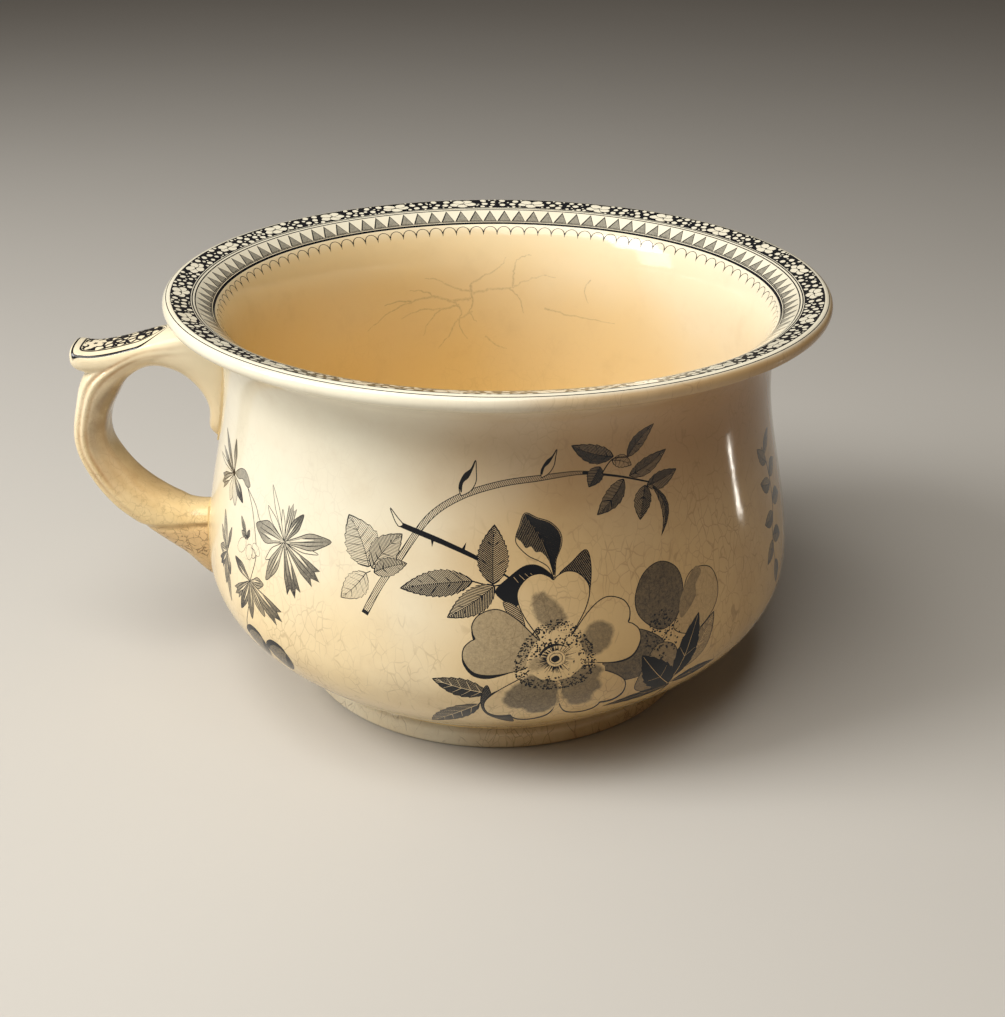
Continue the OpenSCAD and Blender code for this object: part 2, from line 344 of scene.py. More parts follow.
def glaze(name, warm=0.0, craze=1.0, cell=1.0, of_bowl=False, extra=None):
    """Old cream glaze: uneven yellowing, brown crazing, faint ripple and a soft gloss, with painted shade on
    the right, a painted shadow under the rim and, inside the bowl, painted shade to the left and painted
    light to the right.
    """
    k = Nodes(name)
    x, y, z = k.parts(k.geo)
    broad, fine = k.noise(16.0, 2.0), k.noise(75.0, 4.0, 0.6)
    low, fall = z.ramp(0.085, 0.0), z.ramp(0.135, 0.02)
    # Brown toward the right, partly a stain and partly painted shade, and a painted shadow of the rim under
    # the rim there
    far = (broad * 0.06 + x).ramp(-0.02, 0.10)
    rim_shadow = z.ramp(0.088, 0.118) * z.ramp(0.138, 0.132) * (broad * 0.04 + x).ramp(-0.03, 0.05)
    if of_bowl:
        side, inner = k.attr("side"), k.attr("inner")
        far, rim_shadow = far * side, rim_shadow * side
    yellow = (broad * 1.2 + (warm - 0.62) + fall * 0.9 + far).math("MAXIMUM", 0.0)
    # Inside, more amber overall, and more on the left than on the right: painted shade on the inside left,
    # painted light on the inside right
    if of_bowl:
        yellow = yellow + inner * (x * -4.6 + 0.80)
    patch = k.noise(42.0, 5.0, 0.65).ramp(0.42, 0.72) * (far * 0.30 + low * 0.22 + 0.06)
    # Painted shade and shadow: the right side's brown, part stain and part painted shade, and the rim's
    # painted shadow
    brown = far * 0.60 + rim_shadow * 0.24
    where = k.noise(24.0, 4.0, 0.65).ramp(0.40, 0.66)
    strong = (where * z.ramp(0.12, 0.075, 0.06, 0.42) + low * 0.6).math("ADD", far * 0.45, clamp=True)
    if of_bowl:
        outer = inner * -0.7 + 1.0
        patch, brown, strong = patch * outer, brown * outer, strong * outer
    col = k.mix(yellow.ramp(0.0, 1.0), IVORY, CREAM)
    col = k.mix(yellow.ramp(0.8, 1.9), col, AMBER)
    col = k.mix(brown, col, BROWN)
    col = k.mix(patch, col, STAIN_AND_SHADE)
    col = k.mix(fine.ramp(0.5, 0.8) * 0.10, col, STAIN_AND_SHADE)
    # Crazing: two nets of brown hairlines that come and go, drawn out upward
    tall = k.node("ShaderNodeVectorMath", 0, (k.geo, (1.0, 1.0, 0.6)), operation="MULTIPLY")
    breaks = k.noise(190.0, 2.0).ramp(0.42, 0.60)
    coarse = k.edges(k.warped(tall, 70.0, 0.012), 130.0 * cell).ramp(0.004, 0.03, 1.0, 0.0)
    small = k.edges(k.warped(tall, 150.0, 0.004), 300.0 * cell).ramp(0.006, 0.05, 1.0, 0.0)
    cracks = coarse * breaks * strong * (0.46 * craze)
    col = k.mix(cracks.math("MAXIMUM", small * strong * where * (0.42 * craze)), col, CRACK)
    if of_bowl:
        # Fills of the print: engraved lines that swell with the tone, or an even grain
        tone, run = k.attr("tone"), k.attr("hatch")
        grain = k.noise(2400.0, 2.0, 0.7)
        wave = (run.math("FRACT") * 2.0 - 1.0).math("ABSOLUTE") + grain * 0.3 - 0.15
        lines = wave.ramp(tone - 0.14, tone + 0.14, 1.0, 0.0)
        mottle = grain * 0.5 + k.noise(900.0, 3.0, 0.6) * 0.5
        plain = run.math("LESS_THAN", PLAIN_RUN / 2)
        cover = plain * tone.math("ADD", mottle * 0.8 - 0.4, clamp=True) + (plain * -1.0 + 1.0) * lines
        col = k.mix(cover * tone.ramp(0.0, 0.06), col, INK)
    if extra:
        col = extra(k, x / -MM, y / MM, z / MM, col)
    return surface(k, fine, col, CLAY_SHINE, cracks)


def ink_mat(name, colour):
    """Print under the glaze: one ink, with the glaze's own gloss and ripple over it."""
    k = Nodes(name)
    return surface(k, k.noise(75.0, 4.0, 0.6), (*colour, 1.0), INK_SHINE)


# Places of the thumb rest's border, x outward: its point, its lip, half its width, and the blossom
REST_POINT, REST_LIP, REST_HALF, BLOSSOM_X = 116.5, 149.0, 9.4, 142.0


def rest_print(k, x, y, z, col):
    """The handle's own marks, x outward in mm: the thumb rest's border, painted shade in the opening and on
    the hollow panel, darker quirks, a crease and a tan web.
    """
    below = z.ramp(CREASE_Z + 1.5, CREASE_Z - 3.0)
    col = k.mix(below * 0.62, col, TAN)
    off = (z - CREASE_Z) / 1.1
    crease = (off * off * -1.0).math("EXPONENT")
    col = k.mix(crease * k.noise(90.0).ramp(0.3, 0.7, 0.1, 0.6), col, STAIN_AND_SHADE)
    # Painted shade on the inner face's lower half, a net of cracks low down, painted shade on the hollow
    # panel under the crown, darker quirks
    across, high = x + HX, z - HZ
    reach = (across * across + high * high).math("SQRT")
    opening_shade = reach.ramp(FW + 0.9 * ST, FW) * z.ramp(HZ + 4.0, HZ - 20.0)
    col = k.mix(opening_shade * k.noise(150.0, 4.0, 0.6).ramp(0.3, 0.7, 0.35, 0.6), col, STAIN_AND_SHADE)
    lower = below.math("MAXIMUM", z.ramp(HZ - 4.0, HZ - 34.0) * 0.35)
    net = k.edges(k.warped(k.geo, 320.0, 0.004), 360.0).ramp(0.01, 0.08, 1.0, 0.0)
    col = k.mix(net * lower * k.noise(260.0, 3.0).ramp(0.38, 0.58, 0.1, 0.78), col, CRACK)
    # Painted shade on the hollow panel under the crown
    panel_shade = reach.ramp(FW + 0.62 * ST, FW + 0.34 * ST) * z.ramp(HZ - 24.0, HZ + 8.0)
    panel_shade = panel_shade * x.ramp(-HX - 4.0, -HX + 10.0)
    col = k.mix(panel_shade * k.noise(120.0, 4.0, 0.6).ramp(0.25, 0.65, 0.45, 0.85), col, SHADE_GREY)
    # Darker quirks, and painted shade over the hollow panel
    col = k.mix(k.attr("groove") * k.noise(110.0, 4.0, 0.6).ramp(0.3, 0.7, 0.3, 0.75), col, BROWN)
    # Two lines round a pebble ground, with a pale blossom in the dip
    point = ((x - REST_POINT).math("DIVIDE", 10.0, clamp=True) * (math.pi / 2)).math("SINE")
    inset = point.math("POWER", 0.52) * REST_HALF - y.math("ABSOLUTE")
    d = inset.math("SMOOTH_MIN", x * -1.0 + REST_LIP, 3.0)

    def band(lo, hi):
        return d.ramp(lo - 0.1, lo + 0.1) * d.ramp(hi - 0.1, hi + 0.1, 1.0, 0.0)

    cells = k.edges(k.geo, 340.0, 0.9).ramp(0.12, 0.19, 1.0, 0.0)
    fx, fy = (x - BLOSSOM_X) / 3.4, y / 4.6
    lobes = (fy.math("ARCTAN2", fx) * 5.0).math("COSINE")
    far = (fx * fx + fy * fy).math("SQRT") / (lobes * 0.2 + 0.85)
    ground = (cells * far.ramp(0.95, 1.05)).math("MAXIMUM", far.ramp(0.2, 0.28, 1.0, 0.0))
    marked = band(0.0, 0.75).math("MAXIMUM", band(2.5, 3.1)).math("MAXIMUM", ground * d.ramp(3.1, 3.3))
    up = k.parts(k.node("ShaderNodeNewGeometry", "Normal"))[2]
    return k.mix(marked * up.ramp(0.0, 0.1) * z.ramp(116.0, 117.0), col, INK)


bowl_glaze = glaze("bowl_glaze", of_bowl=True)
ink = ink_mat("ink", INK)
handle_glaze = glaze("handle_glaze", warm=0.42, craze=1.9, cell=1.6, extra=rest_print)
# The foot's glaze is paler and less yellow than the bowl's: painted light against the belly's shade on the
# foot
foot_glaze = glaze("foot_glaze", warm=-0.5, craze=1.3, cell=1.3)
slip_glaze = glaze("slip_glaze", warm=0.8)

# The print: flat shapes on the unrolled outside, U across and V up in mm, a later shape on top
INK_SLOT, GLAZE_SLOT = 1, 0
# Mm to a degree on the sheet, which is unrolled at this radius
SHEET_R = 100.0
SHEET = math.radians(SHEET_R)
rng = np.random.default_rng(11)


def spline(pts, n=6, closed=False):
    """A smooth line through points, n steps to a stretch."""
    p = np.array(pts, float)
    k, out = len(p), []
    for i in range(k if closed else k - 1):
        a, b, c, d = (p[(i + o) % k if closed else min(k - 1, max(0, i + o))] for o in (-1, 0, 1, 2))
        square, cube = 2 * a - 5 * b + 4 * c - d, 3 * b - a - 3 * c + d
        for t in np.arange(n) / n:
            out.append(0.5 * (2 * b + (c - a) * t + square * t * t + cube * t**3))
    return np.array(out if closed else out + [p[-1]])


def loop(pts, n=6):
    return spline(pts, n, True)


def unit(a):
    return np.array((math.cos(a), math.sin(a)))


def axis_of(base, tip):
    """A point and the way from it to another."""
    return np.array(base, float), np.array(tip, float) - np.array(base, float)


def leftward(t):
    """Unit vectors to the left of directions."""
    return np.stack([-t[:, 1], t[:, 0]], 1) / (np.linalg.norm(t, axis=1)[:, None] + 1e-9)


def turned(p):
    """The signed area of a closed line, to tell which way round it runs."""
    q = np.roll(p, -1, 0)
    return float((p[:, 0] * q[:, 1] - q[:, 0] * p[:, 1]).sum() / 2)


def grow(p, d):
    """A closed line moved outward by d."""
    t = np.roll(p, -1, 0) - np.roll(p, 1, 0)
    return p - leftward(t) * np.sign(turned(p)) * d


def ribbon(path, wide):
    """A drawn line as a strip, wide given once or per point."""
    n = leftward(np.gradient(path, axis=0))
    w = np.broadcast_to(wide, len(path))[:, None] / 2
    return np.concatenate([path + n * w, (path - n * w)[::-1]])


def ellipse(c, rx, ry=None, turn=0.0, n=10, wob=0.0):
    """A closed line about c, uneven by the share wob."""
    a = np.arange(n) * 2 * math.pi / n
    r = 1 + wob * rng.uniform(-1, 1, n)
    x, y = rx * r * np.cos(a), (ry or rx) * r * np.sin(a)
    cos, sin = math.cos(turn), math.sin(turn)
    return np.stack([c[0] + x * cos - y * sin, c[1] + x * sin + y * cos], 1)


def even(tone, angle=45.0, pitch=0.7):
    """A fill of one tone with straight hatching."""
    d = unit(math.radians(angle))[::-1] * (-1, 1) / pitch
    return lambda p, c: (np.full(len(p), tone), p @ d)


def stipple(tone):
    """A fill of one tone in a fine grain."""
    return lambda p, c: (np.full(len(p), tone), np.full(len(p), PLAIN_RUN))


def fade(tone, hub, tip):
    """A grain that darkens from one point to another."""
    hub, axis = axis_of(hub, tip)
    along = lambda p: np.clip((p - hub) @ axis / (axis @ axis), 0, 1)
    return lambda p, c: (tone * (0.55 + 0.65 * along(p)), np.full(len(p), PLAIN_RUN))


def soft(tone, form, wide):
    """A grain that dies away around a form."""
    off = lambda p: np.linalg.norm(p[:, None] - form[None], axis=2).min(1)
    return lambda p, c: (tone * np.clip(1 - off(p) / wide, 0, 1), np.full(len(p), PLAIN_RUN))


class Sheet:
    """The shapes of one drawing, each with a slot and, for a fill, how its tone runs."""

    def __init__(self):
        self.shapes = []

    def ink(self, pts):
        self.shapes.append((np.asarray(pts, float), INK_SLOT, None))

    def dot(self, c, angle, r, tall=1.0, small=0.15, big=0.4):
        """A small uneven dot at a distance and angle from c."""
        at = (c[0] + r * math.cos(angle), c[1] + tall * r * math.sin(angle))
        self.ink(ellipse(at, rng.uniform(small, big), n=5, wob=0.3))

    def fill(self, pts, look=None):
        self.shapes.append((np.asarray(pts, float), GLAZE_SLOT, look))

    def line(self, pts, wide, n=6):
        self.ink(ribbon(spline(pts, n), wide))

    def outlined(self, pts, edge, look=None):
        """A closed form with an inked outline; without a look its inside is bare glaze."""
        self.ink(grow(pts, edge / 2))
        self.fill(grow(pts, -edge / 2), look)

    def form(self, pts, look=None, edge=0.3, n=6):
        """An outlined form with a smooth line through its points."""
        self.outlined(loop(pts, n), edge, look)

    def local(self, base, tip, wide, pts, n=5):
        """Points given along an axis and across it, as drawn on the sheet."""
        base, axis = axis_of(base, tip)
        across = np.array((-axis[1], axis[0])) / np.linalg.norm(axis) * wide / 2
        p = np.array(pts, float)
        p = base + p[:, :1] * axis + p[:, 1:] * across
        return loop(p, n) if n > 1 else p

    def leaf(self, base, tip, wide, tone=0.6, bend=0.0, teeth=7, veins=5, edge=0.22, pale=0.5, pitch=0.55):
        """A toothed leaf: inked outline and veins, its two halves hatched along the side veins."""
        base, axis = axis_of(base, tip)
        size = np.linalg.norm(axis)
        d = axis / size
        n = np.array((-d[1], d[0]))
        mid = lambda t: base + np.outer(t, axis) + np.outer(4 * bend * t * (1 - t), n)
        half = lambda t: wide / 2 * np.sin(math.pi * np.clip(t, 0, 1) ** 0.82) ** 0.85
        if teeth:
            t = ((np.arange(teeth)[:, None] + np.array((0.06, 0.45, 0.86, 0.97))) / teeth).ravel()
            big = np.tile((0.95, 1.0, 1.06, 0.96), teeth)
        else:
            t, big = np.linspace(0.04, 0.97, 14), 1.0

        def rim(cut, lo, hi):
            s = lo + (hi - lo) * t
            h = np.maximum(half(t) * big - cut, 0.04)[:, None] * n
            ends = mid(np.array([lo])), mid(np.array([hi]))
            return np.concatenate([ends[0], mid(s) + h, ends[1], (mid(s) - h)[::-1]])

        slope = 0.16 * size / (0.42 * wide)

        def off(q):
            along = (q - base) @ d / size
            return (q - base) @ n - 4 * bend * along * (1 - along)

        def look(p, c):
            side = np.sign(off(c))
            hatch = ((p - base) @ d - side * off(p) * slope) / pitch
            return np.full(len(p), tone * (1 + 0.1 * side)), hatch

        self.ink(rim(0, 0, 1))
        if tone <= 1:
            self.fill(rim(edge, 0.015, 0.975), look)
        vein = self.ink if tone < pale else self.fill
        for k in range(veins):
            t0 = (k + 0.7) / (veins + 0.9)
            for side in (1, -1):
                ends = mid(np.array([t0, t0 + 0.07, t0 + 0.13]))
                ends = ends + np.outer(half(np.array([t0 + 0.13])) * side * np.array((0, 0.45, 0.82)), n)
                vein(ribbon(ends, (0.16, 0.13, 0.07)))
        if veins:
            vein(ribbon(mid(np.linspace(0.02, 0.95, 7)), np.linspace(0.28, 0.1, 7)))

    def leaves(self, *rows, **look):
        """Leaves of one look: base, tip, width, tone and, where they differ, bend and teeth."""
        for x0, y0, x1, y1, *rest in rows:
            self.leaf((x0, y0), (x1, y1), *rest, **look)

    def petal(self, c, angle, size, wide, look=None, shade=None, blot=None, tone=0.0):
        """A heart-shaped petal about a flower's middle, with a shadow line and a stippled blot."""
        tip = np.array(c) + size * unit(math.radians(angle))
        heart = [(0, 0), (0.3, 0.5), (0.58, 0.9), (0.8, 1), (0.96, 0.72), (1, 0.38), (0.96, 0.12), (0.92, 0)]
        heart += [(x, -y) for x, y in heart[-2:0:-1]]
        out = self.local(c, tip, wide, heart)
        if shade:
            along = (out - np.array(c)) @ (tip - np.array(c)) / size**2
            self.ink(out + np.outer(np.clip((along - 0.4) / 0.25, 0, 1), shade))
        self.outlined(out, 0.35, look)
        if blot:
            form = self.local(c, tip, wide, blot, n=4)
            self.blot(form + rng.normal(0, 0.22, form.shape), tone, 1.3)

    def blot(self, form, tone, wide):
        """A grained form with a soft edge."""
        self.fill(grow(form, wide), soft(tone, form, wide))
        self.fill(form, stipple(tone))


def rose_spray(sh):
    # Arching stem with two buds and a spray of leaves at its end
    arch = [(-41, 70.8), (-36.4, 81.2), (-31, 90.1), (-22, 104.3), (-12, 111.9), (0.5, 116.3)]
    arch = spline(arch + [(13, 117.9), (25, 118.6), (33, 117.2), (41, 115.1), (50.3, 111.8)])
    wide = np.interp(np.arange(len(arch)), (0, 35, 48, 60), (2.3, 2.1, 0.8, 0.5))
    sh.ink(ribbon(arch, wide))
    sh.fill(ribbon(arch[1:44], wide[1:44] - 0.5), even(0.42, 62, 0.5))
    for base, tip, w in (((-11.5, 112.6), (-6.5, 123.5), 5.6), ((13.5, 118.2), (18.5, 126.6), 3.8)):
        edge = [(0, -0.12), (0.22, -0.75), (0.5, -0.8), (0.76, -0.3)]
        edge += [(1, 0.25), (0.74, 0.3), (0.52, 0.72), (0.2, 0.7)]
        sh.outlined(sh.local(base, tip, w, edge + [(0, 0.15)]), 0.3)
        sh.ink(sh.local(base, tip, w, [(0.05, 0.1), (0.3, 0.4), (0.5, 0.1), (0.8, 0.1)] + edge[4:]))
    sh.leaves(
        (37, 122.4, 22.6, 127.8, 6.2, 0.86, 0.8), (41.8, 121.5, 50.6, 131.3, 5.0, 0.8, 0.4),
        (36.4, 121.3, 43.5, 118.6, 4.4, 0.3, 0.5), (32.5, 119.8, 28.6, 113.6, 5.6, 0.88, 0.0),
        (40.7, 114.6, 31.2, 104.4, 6.4, 0.8, 0.8), (42.5, 115.2, 56.5, 121.4, 5.6, 0.76, -0.6),
        (48.9, 110.9, 60.9, 113.9, 5.8, 0.8, -0.5), (48.4, 111.3, 46, 100.4, 6.4, 0.8, 0.0),
        (51.2, 110.2, 53.4, 93.6, 3.0, 0.85, 3.4), teeth=6, veins=4, pale=2.0,
    )
    sh.line([(33, 117.4), (36.6, 121.6), (41.8, 121.5)], 0.4)
    # Three pale leaves on their stalk, at the left
    sh.line([(-39.8, 85), (-44, 82.4)], 0.3)
    sh.leaf((-40.4, 86.2), (-48.8, 101.6), 12.5, 0.34, -1.0, veins=6, edge=0.16)
    sh.leaf((-39.6, 86.0), (-30, 98.6), 9.0, 0.5, 0.8, veins=6, edge=0.16, pale=0.9)
    sh.leaf((-38.8, 84.8), (-28, 89.4), 6.0, 0.6, 0.5, edge=0.16, pale=0.9)
    sh.leaf((-41.3, 84.2), (-49.5, 74.2), 8.0, 0.2, 0.6, edge=0.14)
    # Thorny stem
    thorn = spline([(-30.8, 101.4), (-24, 99.5), (-16, 96.9), (-6, 92.6), (4.5, 86)])
    wide = np.interp(np.arange(len(thorn)), (0, 8, 16, 20, 24), (1.7, 1.8, 1.5, 1.0, 0.4))
    sh.ink(ribbon(thorn, wide))
    head = [(-34.4, 106.2), (-33.3, 103.6), (-32.4, 101.9), (-31.2, 100.7), (-30, 101.6), (-31.9, 103.6)]
    sh.form(head, edge=0.32, n=4)
    for x, y, dx, dy in ((-20.3, 98, -0.1, -2.6), (-10.8, 95, 1.0, 2.8)):
        sh.ink([(x - 0.6, y + 0.25), (x + dx, y + dy), (x + 0.5, y - 0.25)])
    # Leaves beside the flower
    sh.leaf((-7.6, 85.6), (-30, 81.2), 8.6, 0.72, -0.6, teeth=12, pale=2.0, pitch=0.64)
    sh.line([(-8, 85.6), (-1.4, 84.2), (3, 85.5)], 0.45)
    sh.leaf((-1, 84.4), (-15.2, 73.4), 8.2, 0.70, 0.5, teeth=11, pale=2.0, pitch=0.64)
    sh.leaf((-1.5, 84.6), (-1.2, 103.6), 9.6, 0.74, 0.3, teeth=12, pale=2.0, pitch=0.64)
    sh.leaf((-3.2, 47.6), (-19.6, 52.2), 7.4, 0.97, 0.4)
    sh.leaf((-5.6, 42.2), (-23.6, 22), 8.4, 0.98, -1.2, teeth=8)
    sh.line([(-5.8, 42), (-3.2, 46.2), (0, 48.6)], 0.5)
    # The darker flower behind, half turned away
    upper = [(51, 63), (44, 69), (42.6, 76), (46, 83.2), (52.4, 85.6), (58.6, 81.5), (60.2, 73), (57, 65.5)]
    sh.form(upper, stipple(0.82))
    right_ = [(56, 62), (59.8, 70), (61.6, 77), (66, 79.8), (72.6, 77.6), (75.2, 70), (72.4, 63), (64, 58)]
    sh.form(right_, stipple(0.2))
    shade = [(0.1, 0), (0.4, 0.8), (0.95, 0.6), (0.94, -0.2), (0.7, -0.1), (0.5, -0.5)]
    sh.fill(sh.local((58, 63), (68, 79.4), 9, shade), stipple(0.56))
    sh.form([(49, 62), (40, 66), (33, 61), (32, 52), (39, 47.6), (48, 49), (53, 56)], stipple(0.82))
    sh.form([(50, 58), (45, 50), (44, 41.5), (51, 37.6), (57, 43), (57, 55)], stipple(0.6))
    for _ in range(150):
        a, r = rng.uniform(0, 2 * math.pi), 6.6 * rng.uniform(0.02, 1) ** 0.7
        sh.dot((52, 61), a, r, tall=1.3, big=0.5)
    sh.leaf((59.6, 44.5), (73, 62.4), 8.4, 0.5, -0.6, teeth=0)
    sh.leaves(
        (58.4, 41.5, 66.2, 64.4, 8.2, 1.06, 0.5, 6), (58.2, 37.8, 44.6, 55.6, 10.0, 1.06, 0.6, 7),
        (58.6, 38.6, 78, 40.4, 5.2, 1.06, 0.6, 5), (59.2, 36.6, 34.6, 33.6, 5.2, 1.04, -0.8, 6), veins=1,
    )
    sh.line([(58.4, 37.8), (55.4, 27), (44, 17.2), (30, 11)], np.linspace(0.9, 0.4, 19))
    # Turned sepals, the curl and the bud above the flower
    sepal = [(-0.9, 82.6), (3.4, 87.2), (8.3, 90.6), (13, 90), (16.8, 85.6), (9.6, 84), (5.4, 77.4), (2, 79)]
    sh.ink(loop(sepal))
    for k in range(5):
        rib = [(4.6 + 1.7 * k, 87 + 0.8 * k - 0.16 * k * k), (6 + 2 * k, 85.2 + 0.9 * k - 0.2 * k * k)]
        sh.fill(ribbon(spline(rib, 4), 0.12))
    sh.form([(1.4, 79), (5.8, 77.2), (8, 70.4), (4.6, 72)], even(0.65, 30, 0.55), 0.25, 5)
    curl = [(18.4, 86.6), (22.5, 90.6), (27.2, 94), (28.6, 88), (27.4, 79.6), (25.6, 86)]
    sh.form(curl, even(0.9, 120, 0.55))
    bud = [(5.3, 99.4), (6.4, 102.8), (8.2, 107), (12, 105.4), (16.2, 103.7), (19.2, 100.2)]
    bud += [(19.5, 96.4), (17.7, 91.8)]
    sh.form(bud + [(17, 86.2), (15.2, 89.6), (12.6, 91.6), (9, 93.6), (5.8, 97)])
    ragged = [(16.9, 87), (15.4, 91.6), (13.2, 94.4), (11.4, 94.6), (10, 96.4), (8.4, 96), (7, 98)]
    sh.fill(loop(list(grow(np.array(bud), -0.25)) + ragged), even(0.92, 110, 0.5))
    dark = [(8.5, 106.3), (12, 105), (16, 103.4), (18.9, 100), (19.2, 96.4), (17.4, 91.8)]
    sh.fill(loop(dark + [(16.9, 87.2), (15.6, 93), (13.2, 99.4)]), even(1.08, 20, 0.5))
    sh.line([(16.9, 87), (14.4, 96.4), (8.6, 106)], np.linspace(0.6, 0.2, 13))
    # The open flower
    c = (17.1, 59.6)
    crescent = [(-3.2, 50.8), (-5.2, 44), (-3.2, 35), (5, 27), (3.6, 35), (-0.6, 42)]
    sh.form(crescent, even(1.0, 60, 0.6))
    low_left = [(0.22, 0.25), (0.36, 0.6), (0.55, 0.84), (0.72, 0.74), (0.77, 0.4), (0.7, 0.12)]
    low_left += [(0.75, -0.3), (0.62, -0.6), (0.4, -0.5), (0.22, -0.2)]
    low_right = [(0.15, 0.1), (0.3, 0.45), (0.44, 0.74), (0.5, 0.45), (0.63, 0.36), (0.65, 0.06)]
    low_right += [(0.76, -0.2), (0.7, -0.56), (0.5, -0.6), (0.3, -0.45), (0.15, -0.2)]
    right_ = [(0.24, -0.1), (0.42, 0.32), (0.6, 0.44), (0.71, 0.12), (0.62, -0.26), (0.44, -0.34)]
    upper = [(0.36, 0.1), (0.5, 0.44), (0.7, 0.56), (0.77, 0.3), (0.62, -0.06), (0.46, -0.24)]
    sh.petal(c, 163, 27.2, 22.5, stipple(0.46), (-0.1, -1.3))
    sh.petal(c, 21, 26.6, 23, None, (0.2, -0.5), right_, 0.64)
    sh.petal(c, -54, 29, 21.5, None, (0.3, -1.1), low_right, 0.66)
    sh.petal(c, -118, 30.4, 22, None, (0.1, -1.5), low_left, 0.72)
    sh.petal(c, 91, 28.2, 22, None, None, upper, 0.6)
    sh.fill(ellipse(c, 8.6, 8.0, 0, 24, 0.06))
    sh.blot(ellipse((c[0] - 5.2, c[1] - 1.4), 2.6, 1.8, 0.4, 12, 0.15), 0.42, 1.5)
    # Its stamens: a ring of dots, a brow over the middle, and two rings of rays
    for _ in range(700):
        a = rng.uniform(0, 2 * math.pi)
        r = 12.2 - abs(rng.normal(0, 2.5)) - 0.9 * math.sin(3 * a)
        if r > 5.6:
            sh.dot(c, a, r, small=0.13)
    brow = np.radians(np.linspace(50, 172, 12))
    brow = np.stack([c[0] + 4.9 * np.cos(brow), c[1] + 4.7 * np.sin(brow)], 1)
    sh.ink(ribbon(brow, np.interp(np.arange(12), (0, 5, 8, 11), (0.2, 1.0, 0.9, 0.2))))
    for _ in range(50):
        a, r = math.radians(rng.uniform(40, 178)), rng.uniform(5.2, 6.8)
        sh.dot(c, a, r, big=0.42)

    def ray(a, lo, hi, wide):
        sh.ink(ribbon(np.array(c) + np.outer((lo, rng.uniform(*hi)), unit(a)), (wide, 0.1)))

    for k in range(34):
        ray(k * 2 * math.pi / 34 + rng.uniform(-0.07, 0.07), 3.0, (3.9, 6.4), 0.26)
    sh.outlined(ellipse(c, 2.9, 2.8, 0, 18, 0.05), 0.14)
    for _ in range(46):
        ray(math.radians(rng.uniform(60, 300)), 2.8, (3.6, 5.2), 0.36)
    sh.outlined(ellipse(c, 2.0, 1.9, 0, 16, 0.03), 0.2)
    sh.ink(ellipse((c[0] - 0.15, c[1] - 0.1), 1.3, 1.2, 0.3, 12, 0.08))


BLADE = [(0, 0.06), (0.3, 0.55), (0.58, 1), (0.82, 0.62), (1, 0)]
BLADE += [(0.8, -0.58), (0.56, -0.95), (0.3, -0.55), (0, -0.06)]
FORK = [(0, 0.05), (0.3, 0.42), (0.62, 0.85), (0.9, 1), (0.82, 0.5), (1, 0.12), (0.82, -0.28)]
FORK += [(0.93, -0.85), (0.62, -0.8), (0.3, -0.4), (0, -0.05)]


def blades(sh, hub, *petals):
    """Narrow petals or lobes about one point: tip, width, tone, and FORK for a forked end."""
    for x, y, wide, tone, *fork in petals:
        tip, wide = (x, y), 0.88 * wide
        form = sh.local(hub, tip, wide, FORK, n=1) if fork else sh.local(hub, tip, wide, BLADE, n=3)
        sh.outlined(form, 0.26, fade(tone, hub, tip) if tone else None)
        for across in (-0.42, 0.04, 0.46) if tone > 0.3 else ():
            rib = sh.local(hub, tip, wide, [(0.12, 0.3 * across), (0.5, across), (0.84, 0.9 * across)], n=1)
            sh.ink(ribbon(rib, (0.12, 0.34, 0.12)))
        if wide > 3 and tone > 0.3:
            rib = sh.local(hub, tip, wide, [(0.14, 0.1), (0.4, 0.26), (0.66, 0.28)], n=1)
            sh.fill(ribbon(rib, (0.2, 0.16 * wide, 0.1)))


